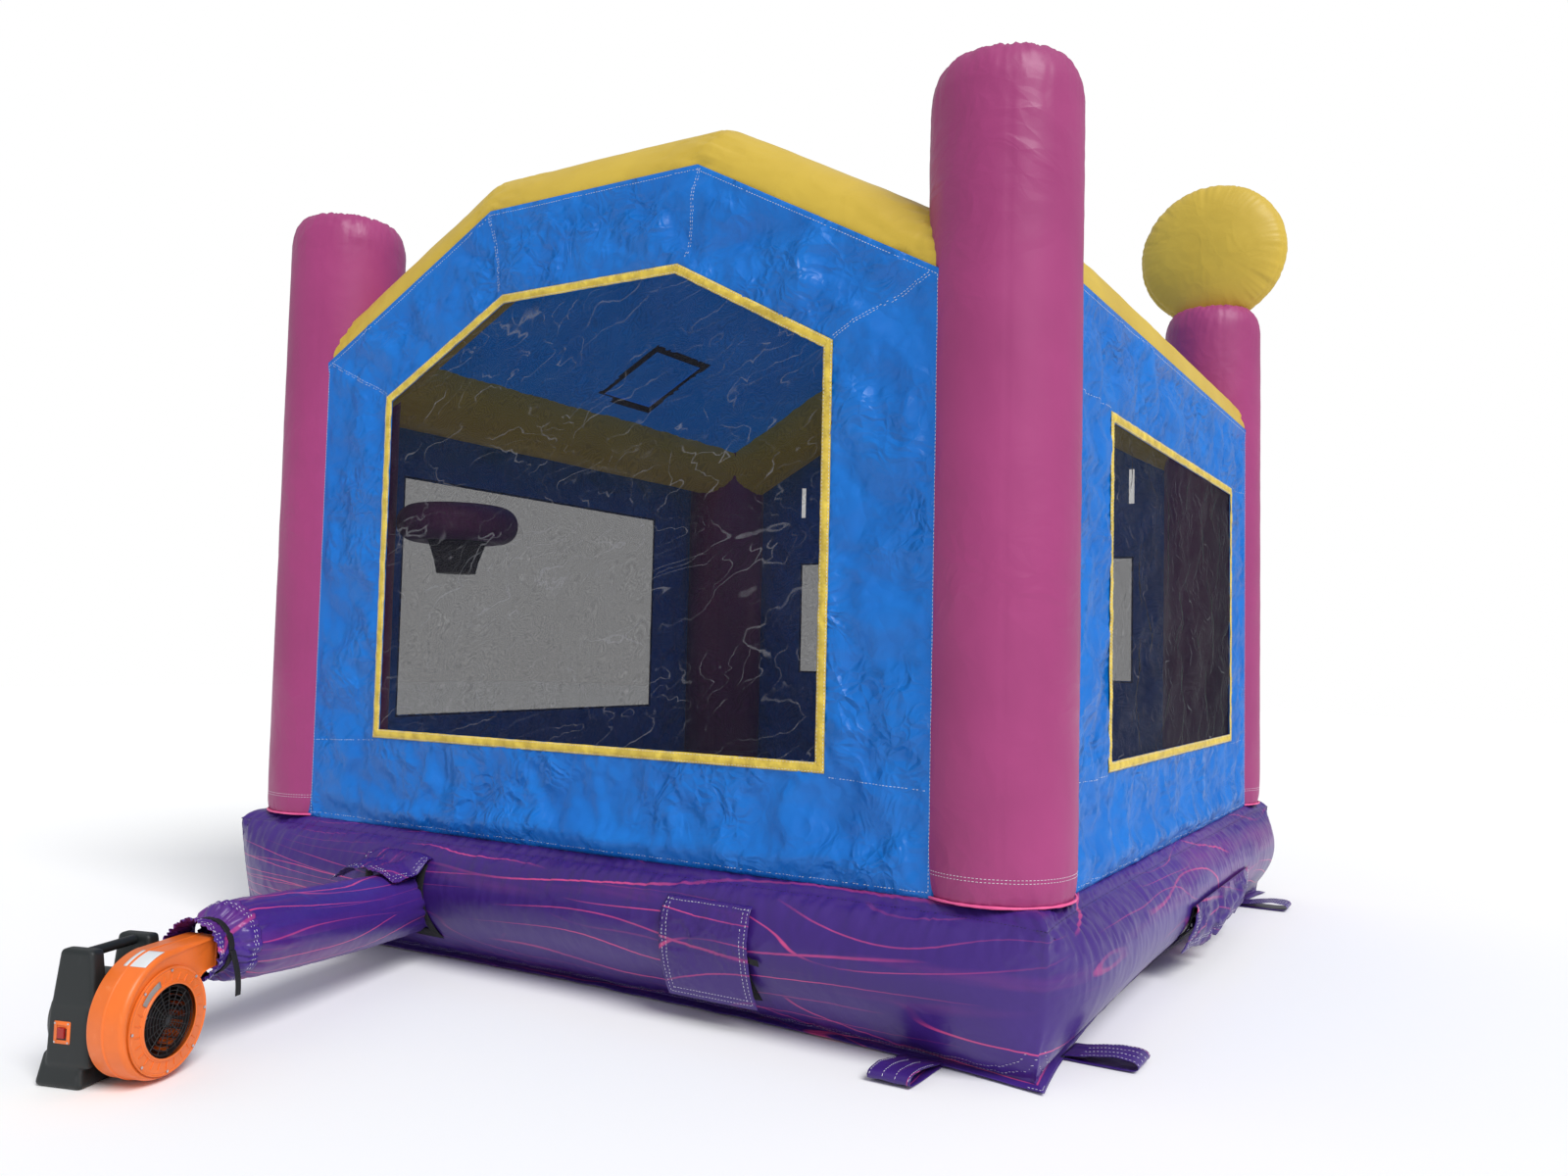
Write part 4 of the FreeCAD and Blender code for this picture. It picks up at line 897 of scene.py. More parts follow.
# %% [markdown]
# ## Arch and eave beams
# Yellow tubes tie the columns together: one gabled arch at each end and a straight beam along each
# side. The arch is three tubes cut at an angle and sewn at the knees, where the cloth gathers into a
# fan of folds. Each ring of the grid is set in the plane that its stretch of the path gives.
# %% Beams
PITCH = math.radians(28.6)
KNEE_HALF = 0.549
COLUMN_SEAM = 1.46
EAVE_SEAM = 0.27
ARCH_LOW, ARCH_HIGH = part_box("arch_beam_rear")
BEAM_RADIUS = (ARCH_HIGH.y - ARCH_LOW.y) / 2
ARCH_Y = (ARCH_HIGH.y + ARCH_LOW.y) / 2
KNEE_HEIGHT = ARCH_HIGH.z - BEAM_RADIUS
ARCH_FOOT = (abs(COLUMN_SPOT[0]), KNEE_HEIGHT - (abs(COLUMN_SPOT[0]) - KNEE_HALF) * math.tan(PITCH))
ARCH_PATH = np.array([(-ARCH_FOOT[0], ARCH_FOOT[1]), (-KNEE_HALF, KNEE_HEIGHT),
                      (KNEE_HALF, KNEE_HEIGHT), ARCH_FOOT])


def ring_frames(path):
    """The plane of the ring at each corner of a path in X and Z: how the upward direction leans there."""
    steps = np.diff(path, axis=0)
    steps /= np.linalg.norm(steps, axis=1)[:, None]
    ups = xyz(-steps[:, 1], steps[:, 0])
    leans = [ups[0]]
    for before, after in zip(ups, ups[1:]):
        middle = before + after
        leans.append(middle / (middle @ before))
    return np.array(leans + [ups[-1]])


def tube_shape(path, radius, closing=0.012):
    """A round tube along a path in X and Z, closed at both ends."""
    marks = ways_along(path)
    leans = ring_frames(path)

    def shape(u, v):
        way = np.clip((v - closing) / (1 - 2 * closing), 0, 1) * marks[-1]
        centre, lean = read_off(way, marks, path), read_off(way, marks, leans)
        size = radius * np.clip(np.minimum(v, 1 - v) / closing, 0, 1)
        angle = u * FULL_TURN
        spot = centre + lean * (size * np.cos(angle))[:, None]
        return xyz(spot[:, 0], size * np.sin(angle), spot[:, 1])

    return shape


def pucker_beam(piece, path, seams, closing=0.012):
    """Folds beside each cross seam, given by its way along the path, and slack between them."""
    u, v = remembered(piece, "u"), remembered(piece, "v")
    total = np.linalg.norm(np.diff(path, axis=0), axis=1).sum()
    way = (v - closing) / (1 - 2 * closing) * total
    angle = u * FULL_TURN
    ring = xyz(np.cos(angle) * BEAM_RADIUS, np.sin(angle) * BEAM_RADIUS, way * 0.2)
    height = np.zeros(len(u))
    for seam in seams:
        apart = np.abs(way - seam)
        reach = 0.09 + 0.08 * (lumps(ring / 0.05, 71) + 1)
        fade = np.exp(-apart / reach) * np.clip(apart / 0.01, 0, 1)
        height -= 0.013 * pleats(ring, 0.04, 72) * fade + 0.006 * np.exp(-(apart / 0.006) ** 2)
    long_way = xyz(np.cos(angle) * 0.21, np.sin(angle) * 0.21, way * 0.4)
    height += 0.0035 * slack(long_way * 1.6, 73)
    swell(piece, height)


slope_length = np.linalg.norm(ARCH_PATH[1] - ARCH_PATH[0])
near_column = slope_length - (COLUMN_SEAM - KNEE_HALF) / math.cos(PITCH)
arch_length = 2 * slope_length + 2 * KNEE_HALF
arch = laid_grid(84, 260, tube_shape(ARCH_PATH, BEAM_RADIUS))
knees = (slope_length, slope_length + 2 * KNEE_HALF)
pucker_beam(arch, ARCH_PATH, (near_column, *knees, arch_length - near_column))
arches = {"rear": arch, "front": copy_of(arch, "arch_front")}
for end, piece in arches.items():
    places = places_of(piece) + np.array([0, ARCH_Y, 0])
    move_to(piece, to_quarter(places, 0 if end == "rear" else 2))
    finish_piece(piece, f"arch_skin_{end}", yellow_cloth, "yellow_vinyl", f"arch_beam_{end}")

EAVE_LOW, EAVE_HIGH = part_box("eave_beam_right")
EAVE_PLACE = ((EAVE_LOW.x + EAVE_HIGH.x) / 2, (EAVE_LOW.z + EAVE_HIGH.z) / 2)
EAVE_PATH = np.array([(-ARCH_FOOT[0], EAVE_PLACE[1]), (ARCH_FOOT[0], EAVE_PLACE[1])])
eave = laid_grid(84, 220, tube_shape(EAVE_PATH, BEAM_RADIUS))
pucker_beam(eave, EAVE_PATH, (EAVE_SEAM, 2 * ARCH_FOOT[0] - EAVE_SEAM))
eaves = {"right": eave, "left": copy_of(eave, "eave_left")}
for side, piece in eaves.items():
    places = places_of(piece) + np.array([0, -EAVE_PLACE[0], 0])
    move_to(piece, to_quarter(places, 1 if side == "right" else 3))
    finish_piece(piece, f"eave_skin_{side}", yellow_cloth, "yellow_vinyl", f"eave_beam_{side}")

# %% [markdown]
# ## Cloth with creases
# Flat panels of coated fabric buckle into sharp little folds where they have a bit of slack. Modelling
# them by hand never looks right, so Blender's cloth does it: the panel is held along its seams, its
# threads are made some per cent too long, and thirty frames let it find its own creases.
# %% Cloth by simulation
CLOTH_FRAMES = 30


def hold(piece, held):
    group = piece.vertex_groups.new(name="sewn")
    group.add([int(i) for i in np.nonzero(held)[0]], 1, "REPLACE")


def crumple(piece, held, spare, seed, most=0.04, out=(0, -1, 0), bulge=0.006, sink=1.0):
    """Lets a panel buckle between its held points; no point leaves its place by more than most, nor
    sinks in along Y by more than sink."""
    start = places_of(piece)
    random = np.random.default_rng(seed)
    push = bulge * lumps(start / 0.23, seed) + random.normal(0, 0.0015, len(start))
    push[held] = 0
    move_to(piece, start + push[:, None] * np.array(out))
    hold(piece, held)
    only(piece)
    cloth = piece.modifiers.new("Cloth", "CLOTH")
    cloth.settings.quality = 6
    cloth.settings.mass = 0.3
    cloth.settings.vertex_group_mass = "sewn"
    cloth.settings.shrink_min = -spare
    cloth.settings.tension_stiffness = 40
    cloth.settings.compression_stiffness = 40
    cloth.settings.shear_stiffness = 20
    cloth.settings.bending_stiffness = 0.3
    cloth.settings.air_damping = 2
    cloth.settings.effector_weights.gravity = 0
    cloth.collision_settings.use_self_collision = False
    cloth.collision_settings.use_collision = False
    cloth.point_cache.frame_start = 1
    cloth.point_cache.frame_end = CLOTH_FRAMES
    for frame_number in range(1, CLOTH_FRAMES + 1):
        bpy.context.scene.frame_set(frame_number)
    bpy.ops.object.modifier_apply(modifier=cloth.name)
    bpy.context.scene.frame_set(1)
    piece.vertex_groups.clear()
    moved = places_of(piece) - start
    far = np.linalg.norm(moved, axis=1)
    moved *= np.where(far > most, most / np.maximum(far, 1e-9), 1)[:, None]
    moved[:, 1] = np.minimum(moved[:, 1], sink)
    move_to(piece, start + moved)


# %% [markdown]
# ## Flat panels and their windows
# Walls are cut like paper: a fine grid is cut along straight lines with Bisect, and the faces inside a
# window are deleted. The window's outline is inset to give the tape round it and the net behind it.
# %% Outlines, panels and tape frames
WALL_LOW, WALL_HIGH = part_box("wall_rear")
WALL_LAP = 0.03
WALL_FOOT, WALL_HALF = WALL_LOW.z, WALL_HIGH.x + WALL_LAP
WALL_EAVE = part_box("wall_right")[1].z
TRIM_LOW, TRIM_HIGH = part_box("window_trim_rear")
TRIM_WIDTH = 0.038
NET_LAP = 0.012


def gable_outline(half, sill, eave, ridge):
    """A gabled outline with a flat top, whose slopes have the roof's pitch."""
    knee = half - (ridge - eave) / math.tan(PITCH)
    right = [(half, sill), (half, eave), (knee, ridge)]
    return np.array(right + [(-x, z) for x, z in reversed(right)])


def inset_outline(outline, distance):
    """The same convex outline, drawn that far inside."""
    found = []
    count = len(outline)
    for i in range(count):
        before, here, after = outline[i - 1], outline[i], outline[(i + 1) % count]
        one = (here - before) / np.linalg.norm(here - before)
        two = (after - here) / np.linalg.norm(after - here)
        inward = np.array([-one[1] - two[1], one[0] + two[0]])
        inward /= inward @ np.array([-one[1], one[0]])
        found.append(here + inward * distance)
    return np.array(found)


def within(outline, x, z, grow=0.0):
    """Which points lie inside a convex outline that runs anticlockwise."""
    inside = np.ones(len(x), dtype=bool)
    for a, b in zip(outline, np.roll(outline, -1, axis=0)):
        edge = (b - a) / np.linalg.norm(b - a)
        inside &= (x - a[0]) * -edge[1] + (z - a[1]) * edge[0] > -grow
    return inside


def pick_within(piece, outline, grow=0.0):
    """Opens a panel in edit mode with the faces inside an outline selected."""
    only(piece)
    faces = piece.data.polygons
    for things in (piece.data.vertices, piece.data.edges):
        things.foreach_set("select", [False] * len(things))
    centres = np.zeros(len(faces) * 3)
    faces.foreach_get("center", centres)
    centres = centres.reshape(-1, 3)
    faces.foreach_set("select", within(outline, centres[:, 0], centres[:, 2], grow))
    bpy.context.tool_settings.mesh_select_mode = (False, False, True)
    bpy.ops.object.mode_set(mode="EDIT")


def cut_along(a, b, keep_inside=False):
    """Cuts the selected faces along the line through a and b; keep_inside throws away what lies outside."""
    edge = (b - a) / np.linalg.norm(b - a)
    bpy.ops.mesh.bisect(plane_co=(a[0], 0, a[1]), plane_no=(edge[1], 0, -edge[0]), clear_outer=keep_inside)
    idle()


def flat_panel(outline, windows, cell):
    """A panel in the plane y = 0 with its windows cut out."""
    low, high = outline.min(axis=0), outline.max(axis=0)
    size = high - low
    idle()
    bpy.ops.mesh.primitive_grid_add(x_subdivisions=int(size[0] / cell), y_subdivisions=int(size[1] / cell),
                                    size=1, rotation=(math.pi / 2, 0, 0))
    piece = bpy.context.object
    piece.scale = (size[0], size[1], 1)
    piece.location = ((low[0] + high[0]) / 2, 0, (low[1] + high[1]) / 2)
    settle()
    for a, b in zip(outline, np.roll(outline, -1, axis=0)):
        if abs(a[0] - b[0]) > 0.001 and abs(a[1] - b[1]) > 0.001:
            pick_all(piece)
            cut_along(a, b, keep_inside=True)
    for window in windows:
        for a, b in zip(window, np.roll(window, -1, axis=0)):
            pick_within(piece, window, grow=2 * cell)
            cut_along(a, b)
        pick_within(piece, window)
        bpy.ops.mesh.delete(type="FACE")
        idle()
    pick_all(piece)
    bpy.ops.mesh.remove_doubles(threshold=0.0004)
    idle()
    return piece


def open_edges(piece):
    """Which points lie on the panel's own outline or its windows' outlines."""
    uses = {}
    for face in piece.data.polygons:
        for key in face.edge_keys:
            uses[key] = uses.get(key, 0) + 1
    held = np.zeros(len(piece.data.vertices), dtype=bool)
    for key, count in uses.items():
        if count == 1:
            held[list(key)] = True
    return held


def around(outline, share):
    """The point at a share of the way round an outline, with the same share for each of its edges."""
    count = len(outline)
    edge = np.minimum((share * count).astype(int), count - 1)
    part = (share * count - edge)[:, None]
    return outline[edge] * (1 - part) + outline[(edge + 1) % count] * part


def tape_frame(outline, width, stand, seed):
    """A frame of tape sewn round a window, with the small cross puckers of its stitching."""
    inner = inset_outline(outline, width)

    def shape(u, v):
        spot = around(outline, u) * (1 - v)[:, None] + around(inner, u) * v[:, None]
        places = xyz(spot[:, 0], -stand, spot[:, 1])
        middle = np.sin(v * math.pi)
        places[:, 1] -= 0.0022 * middle * (lumps(places / 0.011, seed) + 0.4) + 0.003 * middle ** 2
        places[:, 1] -= 0.004 * np.clip(lumps(places / 0.055, seed + 1), 0, 1)
        ragged = 0.0015 * lumps(places / 0.03, seed + 2) * (v > 0.9)
        places[:, 0] += ragged
        places[:, 2] += ragged
        return places

    piece = laid_grid(len(outline) * 190, 5, shape, sewn=0.0001)
    thicken(piece, 0.0012)
    return piece


# %% [markdown]
# ## Walls, nets and tape
# The rear wall has one large gabled window, the side walls a plain one, and the front wall a doorway
# between two small windows with a slit above each. Below the windows the wall is pushed out by the
# base, so the cloth starts there with a long bulge that the simulation then creases.
# %% Making a wall with its windows
WALL_CELL = 0.0165
WALL_SPARE = 0.032
BEAM_GUARD = 0.006
SEWN_MARGIN = 0.05
WALL_PLANE = WALL_OUT - 0.0015


def wall_bulge(places, amount=0.034):
    """The roll that the base pushes out at the wall's foot."""
    low = places[:, 2] - WALL_FOOT
    across = np.cos(np.clip(places[:, 0] / WALL_HALF, -1, 1) * math.pi / 2)
    return amount * np.exp(-((low - 0.085 - 0.03 * lumps(places / 0.9, 90)) / 0.045) ** 2) * across


def room_behind(places, beam):
    """How far the cloth may sink in before it meets the beam whose path in X and Z is given."""
    apart = np.full(len(places), 9.0)
    flat = places[:, [0, 2]]
    for a, b in zip(beam, beam[1:]):
        part = np.clip((flat - a) @ (b - a) / ((b - a) @ (b - a)), 0, 1)[:, None]
        apart = np.minimum(apart, np.linalg.norm(flat - a - part * (b - a), axis=1))
    round_back = BEAM_RADIUS - np.sqrt(np.maximum(BEAM_RADIUS ** 2 - apart ** 2, 0))
    return WALL_PLANE + ARCH_Y - BEAM_RADIUS - BEAM_GUARD + round_back


def make_wall(outline, openings, trims, beam, seed):
    """A wall standing at y = 0; openings are holes, and the band under each trim stays flat."""
    piece = flat_panel(outline, openings, WALL_CELL)
    places = places_of(piece)
    held = open_edges(piece) | (np.abs(places[:, 0]) > WALL_HALF - SEWN_MARGIN)
    for trim in trims:
        held |= within(trim, places[:, 0], places[:, 2], 0.004)
    push = wall_bulge(places)
    push[held] = 0
    places[:, 1] -= push
    move_to(piece, places)
    sink = room_behind(places, beam) + push
    crumple(piece, held, WALL_SPARE, seed, most=0.045, bulge=0.011, sink=sink)
    places = places_of(piece)
    places[:, 1] -= WALL_PLANE
    move_to(piece, places)
    thicken(piece, 0.002)
    return piece


def make_net(outline, seed, spare=0.016, cell=0.024):
    """A net behind a window, hung from the tape."""
    cut = inset_outline(outline, TRIM_WIDTH - NET_LAP)
    piece = flat_panel(cut, [], cell)
    crumple(piece, open_edges(piece), spare, seed, most=0.028, bulge=0.006)
    places = places_of(piece)
    places[:, 1] -= WALL_OUT - 0.0045
    move_to(piece, places)
    return piece


def box_outline(low, high):
    return np.array([(high[0], low[1]), (high[0], high[1]), (low[0], high[1]), (low[0], low[1])])


side_low, side_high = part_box("window_trim_right")
rear_window = gable_outline(TRIM_HIGH.x, TRIM_LOW.z, 2.488, TRIM_HIGH.z)
side_window = box_outline((side_low.y, side_low.z), (side_high.y, side_high.z))
gable_wall = gable_outline(WALL_HALF, WALL_FOOT, WALL_EAVE - WALL_LAP * math.tan(PITCH), WALL_HIGH.z)
side_wall = box_outline((-WALL_HALF, WALL_FOOT), (WALL_HALF, WALL_EAVE))
TRIM_STAND = WALL_OUT + 0.0022

for side, quarter, outline, window, beam in (("rear", 0, gable_wall, rear_window, ARCH_PATH),
                                             ("right", 1, side_wall, side_window, EAVE_PATH),
                                             ("left", 3, side_wall, side_window, EAVE_PATH)):
    wall = make_wall(outline, [inset_outline(window, TRIM_WIDTH)], [window], beam, 100 + quarter)
    quarter_turn(wall, quarter)
    finish_piece(wall, f"wall_cloth_{side}", blue_cloth, "wall_vinyl", f"wall_{side}")
    net = make_net(window, 110 + quarter)
    quarter_turn(net, quarter)
    finish_piece(net, f"net_{side}", window_net, "window_net", f"window_net_{side}")
    trim = tape_frame(window, TRIM_WIDTH, TRIM_STAND, 120 + quarter)
    quarter_turn(trim, quarter)
    finish_piece(trim, f"trim_{side}", yellow_tape, "trim_tape", f"window_trim_{side}")

# %% [markdown]
# ## Entrance side
# The entrance wall is made the same way. Its doorway is closed by two net leaves that are sewn to the
# jambs, so each leaf turns about its own side when a child pushes through.
# %% Front wall with doorway
door_low, door_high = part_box("door_trim")
DOOR_HALF = door_high.x - TRIM_WIDTH
DOOR_SILL = door_low.z + TRIM_WIDTH
DOOR_TOP = door_high.z - TRIM_WIDTH
DOOR_SHOULDER, DOOR_TOP_HALF = 1.82, 0.31
small_low, small_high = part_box("window_trim_front")
SMALL_NEAR = 0.62
SLIT = (1.182, 2.350, 1.216, 2.570)


def both_sides(low, high):
    return [box_outline(low, high), box_outline((-high[0], low[1]), (-low[0], high[1]))]


door_right = [(DOOR_HALF, DOOR_SILL), (DOOR_HALF, DOOR_SHOULDER), (DOOR_TOP_HALF, DOOR_TOP)]
doorway = np.array(door_right + [(-x, z) for x, z in reversed(door_right)])
small_windows = both_sides((SMALL_NEAR, small_low.z), (small_high.x, small_high.z))
slits = both_sides(SLIT[:2], SLIT[2:])
door_frame = inset_outline(doorway, -TRIM_WIDTH)
front_holes = [doorway] + [inset_outline(w, TRIM_WIDTH) for w in small_windows] + slits
wall = make_wall(gable_wall, front_holes, [door_frame] + small_windows, ARCH_PATH, 102)
quarter_turn(wall, 2)
finish_piece(wall, "wall_cloth_front", blue_cloth, "wall_vinyl", "wall_front")


def join(name, parts):
    idle()
    for part in parts:
        part.select_set(True)
    bpy.context.view_layer.objects.active = parts[0]
    bpy.ops.object.join()
    parts[0].name = name
    return parts[0]


nets = [make_net(window, 130 + i) for i, window in enumerate(small_windows[:1])]
nets.append(copy_of(nets[0], "net_twin"))
to_twin = small_windows[1].mean(axis=0)[0] - small_windows[0].mean(axis=0)[0]
nudge(nets[1], (to_twin, 0, 0))
for number, net in enumerate(nets):
    quarter_turn(net, 2)
nodes_left = ["window_net_front"]
for number, net in enumerate(nets):
    finish_piece(net, f"net_front_{'ab'[number]}", window_net, "window_net", *nodes_left)
    nodes_left = []

frames = [tape_frame(window, TRIM_WIDTH, TRIM_STAND, 140 + i) for i, window in enumerate(small_windows)]
small_trim = quarter_turn(join("trim_front", frames), 2)
finish_piece(small_trim, "trim_front", yellow_tape, "trim_tape", "window_trim_front")
door_tape = quarter_turn(tape_frame(door_frame, TRIM_WIDTH, TRIM_STAND, 150), 2)
finish_piece(door_tape, "door_trim_tape", yellow_tape, "trim_tape", "door_trim")

# %% [markdown]
# Each door leaf is a flat net. It hangs a little slack from its jamb.
# %% Door leaves
leaf_low, leaf_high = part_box("door_net_right")
LEAF_GAP = 0.004


def make_leaf(seed):
    inner = LEAF_GAP / 2
    leaf = np.array([(DOOR_HALF - LEAF_GAP, leaf_low.z), (DOOR_HALF - LEAF_GAP, DOOR_SHOULDER - LEAF_GAP),
                     (DOOR_TOP_HALF - LEAF_GAP, leaf_high.z), (inner, leaf_high.z), (inner, leaf_low.z)])
    piece = flat_panel(leaf, [], 0.02)
    places = places_of(piece)
    free = np.sin(np.clip((DOOR_HALF - places[:, 0]) / DOOR_HALF, 0, 1) * math.pi)
    places[:, 1] += 0.007 * free * slack(places * (1, 1, 0.4), seed) - (leaf_low.y + leaf_high.y) / 2
    move_to(piece, places)
    return piece


for side, mirrored in (("right", -1), ("left", 1)):
    leaf = make_leaf(160 + mirrored)
    places = places_of(leaf) * (1, -1, 1) if side == "right" else places_of(leaf) * (-1, -1, 1)
    move_to(leaf, places)
    weld(leaf)
    finish_piece(leaf, f"door_leaf_net_{side}", window_net, "window_net", f"door_net_{side}",
                 body=f"door_leaf_{side}")

# %% [markdown]
# ## Roof and its escape hatch
# The roof is one sheet that lies on the inner side of the beams. A square hole near the left eave is
# closed from above by a flap on hook-and-loop strips, which shows from inside as a dark square.
# %% Roof sheet
ROOF_LOW, ROOF_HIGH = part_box("roof_sheet")
ROOF_LAP = 0.04
ROOF_HALF, ROOF_END = ROOF_HIGH.x + ROOF_LAP, ROOF_HIGH.y + ROOF_LAP
HATCH_LOW, HATCH_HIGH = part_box("hatch_fastener")
HATCH_HOLE, HATCH_FLAP = 0.44, 0.56
hatch_x, hatch_y = (HATCH_LOW.x + HATCH_HIGH.x) / 2, (HATCH_LOW.y + HATCH_HIGH.y) / 2
ROOF_SLOPE = (ROOF_HALF - KNEE_HALF) / math.cos(PITCH)
hatch_way = (ROOF_HALF + hatch_x) / math.cos(PITCH)
ACROSS = np.concatenate([np.linspace(0, hatch_way - HATCH_HOLE / 2, 5),
                         np.linspace(hatch_way - HATCH_HOLE / 2, hatch_way + HATCH_HOLE / 2, 19)[1:],
                         np.linspace(hatch_way + HATCH_HOLE / 2, ROOF_SLOPE, 20)[1:],
                         ROOF_SLOPE + np.linspace(0, 2 * KNEE_HALF, 45)[1:],
                         ROOF_SLOPE + 2 * KNEE_HALF + np.linspace(0, ROOF_SLOPE, 46)[1:]])
ALONG = np.concatenate([np.linspace(-ROOF_END, hatch_y - HATCH_HOLE / 2, 54),
                        np.linspace(hatch_y - HATCH_HOLE / 2, hatch_y + HATCH_HOLE / 2, 19)[1:],
                        np.linspace(hatch_y + HATCH_HOLE / 2, ROOF_END, 50)[1:]])
ROOF_EAVE = ROOF_LOW.z + 0.0015 - ROOF_LAP * math.tan(PITCH)
ROOF_LINE = np.array([(-ROOF_HALF, ROOF_EAVE), (-KNEE_HALF, ROOF_EAVE + ROOF_SLOPE * math.sin(PITCH)),
                      (KNEE_HALF, ROOF_EAVE + ROOF_SLOPE * math.sin(PITCH)), (ROOF_HALF, ROOF_EAVE)])


def roof_shape(u, v):
    way = rows(u, ACROSS)
    marks = [0, ROOF_SLOPE, ROOF_SLOPE + 2 * KNEE_HALF, 2 * ROOF_SLOPE + 2 * KNEE_HALF]
    line = read_off(way, marks, ROOF_LINE)
    return xyz(line[:, 0], rows(v, ALONG), line[:, 1])


roof = laid_grid(len(ACROSS) - 1, len(ALONG) - 1, roof_shape, sewn=None)
half_hole = HATCH_HOLE / 2
pick(roof, lambda centre, normal: abs(centre.y - hatch_y) < half_hole and abs(centre.x - hatch_x)
     < half_hole * math.cos(PITCH) and centre.x < -KNEE_HALF)
bpy.ops.mesh.delete(type="FACE")
idle()
roof_places = places_of(roof)
near_hatch = (np.abs(roof_places[:, 1] - hatch_y) < half_hole + 0.05) \
    & (np.abs(roof_places[:, 0] - hatch_x) < (half_hole + 0.05) * math.cos(PITCH))
crumple(roof, open_edges(roof) | near_hatch, 0.012, 171, most=0.03, out=(0, 0, 1), bulge=0.008)
thicken(roof, 0.002)
finish_piece(roof, "roof_cloth", roof_look, "wall_vinyl", "roof_sheet")

# %% [markdown]
# The hatch flap is a hemmed square, hinged by its sewn upper edge. Its free edge lifts a little.
# %% Hatch flap
flap_low, flap_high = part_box("roof_hatch")
flap_middle = (flap_low + flap_high) / 2


def flap_shape(u, v):
    x, y = (u - 0.5) * HATCH_FLAP, (v - 0.5) * HATCH_FLAP
    rim = np.maximum(np.abs(u - 0.5), np.abs(v - 0.5)) * 2
    lift = 0.0012 * (rim > 0.9) + 0.0015 * (lumps(xyz(x, y, 0) / 0.07, 181) + 1)
    lift += 0.004 * np.clip(1 - u * 4, 0, 1) * (lumps(xyz(0, y, 0) / 0.1, 182) + 1)
    cos, sin = math.cos(PITCH), math.sin(PITCH)
    return xyz(x * cos - lift * sin, y, x * sin + lift * cos) + np.array(flap_middle)


hatch = laid_grid(48, 48, flap_shape)
thicken(hatch, 0.0016)
finish_piece(hatch, "hatch_flap_cloth", roof_look, "wall_vinyl", "roof_hatch", body="hatch")

# %% [markdown]
# ## Hoop
# In one corner hangs an inflated ring with a short net funnel under it. The ring is a spun circle whose
# inner and outer seams gather the cloth.
# %% Hoop ring and net
HOOP_LOW, HOOP_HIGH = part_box("hoop_ring")
hoop_middle = (HOOP_LOW + HOOP_HIGH) / 2
HOOP_TUBE = (HOOP_HIGH.z - HOOP_LOW.z) / 2
HOOP_RING = (HOOP_HIGH.x - HOOP_LOW.x) / 2 - HOOP_TUBE


def hoop_shape(u, v):
    turn, angle = u * FULL_TURN, v * FULL_TURN
    radius = HOOP_RING + HOOP_TUBE * np.cos(angle)
    return xyz(radius * np.cos(turn), radius * np.sin(turn), HOOP_TUBE * np.sin(angle))


hoop = laid_grid(160, 56, hoop_shape)
turn, angle = remembered(hoop, "u") * FULL_TURN, remembered(hoop, "v") * FULL_TURN
hoop_ring = xyz(np.cos(turn), np.sin(turn), 0) * 0.25
from_seam = np.minimum(np.abs((angle + 0.5) % FULL_TURN - 0.5), np.abs(angle - math.pi)) * HOOP_TUBE
hoop_folds = pleats(hoop_ring, 0.03, 191) * np.exp(-from_seam / 0.035) * np.clip(from_seam / 0.006, 0, 1)
swell(hoop, -0.009 * hoop_folds - 0.003 * np.exp(-(from_seam / 0.005) ** 2))
nudge(hoop, hoop_middle)
finish_piece(hoop, "hoop_ring_skin", hoop_cloth, "hoop_vinyl", "hoop_ring")

NET_LOW, NET_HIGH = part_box("hoop_net")


def funnel_shape(u, v):
    angle = u * FULL_TURN
    radius = 0.099 + (0.146 - 0.099) * v ** 1.3
    radius = radius - 0.006 * pleats(xyz(np.cos(angle), np.sin(angle), v * 0.4) * 0.12, 0.03, 195)
    height = NET_LOW.z + (NET_HIGH.z - NET_LOW.z - 0.002) * v
    return xyz(radius * np.cos(angle), radius * np.sin(angle), height) + (hoop_middle.x, hoop_middle.y, 0)


funnel = laid_grid(96, 20, funnel_shape)
thicken(funnel, 0.0012, -1)
finish_piece(funnel, "hoop_funnel", window_net, "hoop_net", "hoop_net")

# %% [markdown]
# ## Entrance step
# A wedge-shaped cushion in front of the doorway. It starts as a cube, its front is pushed down in edit
# mode, its edges are bevelled round, and after a voxel remesh the gathers are drawn in along its seams.
# %% Step cushion
STEP_LOW, STEP_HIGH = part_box("entrance_step")
STEP_FRONT_HEIGHT = 0.150
step_size = STEP_HIGH - STEP_LOW
step = add_block((STEP_LOW + STEP_HIGH) / 2, step_size)
pick(step, lambda middle, along: middle.y > STEP_HIGH.y - 0.01 and middle.z > STEP_HIGH.z - 0.01, "EDGE")
bpy.ops.transform.translate(value=(0, 0, STEP_FRONT_HEIGHT - step_size.z))
idle()
modify(step, "BEVEL", width=0.052, segments=5, limit_method="NONE")
modify(step, "REMESH", mode="VOXEL", voxel_size=0.013)
modify(step, "SMOOTH", factor=0.5, iterations=6)
step_places = places_of(step)
slope = (STEP_FRONT_HEIGHT - step_size.z) / step_size.y
top_gap = STEP_HIGH.z + slope * (step_places[:, 1] - STEP_LOW.y) - step_places[:, 2]
from_ends = np.minimum(step_places[:, 1] - STEP_LOW.y, STEP_HIGH.y - step_places[:, 1])
inside = np.minimum(STEP_HIGH.x - np.abs(step_places[:, 0]), from_ends)
to_seam = np.abs(inside - top_gap) * 0.7
crown = np.clip(inside / 0.25, 0, 1)
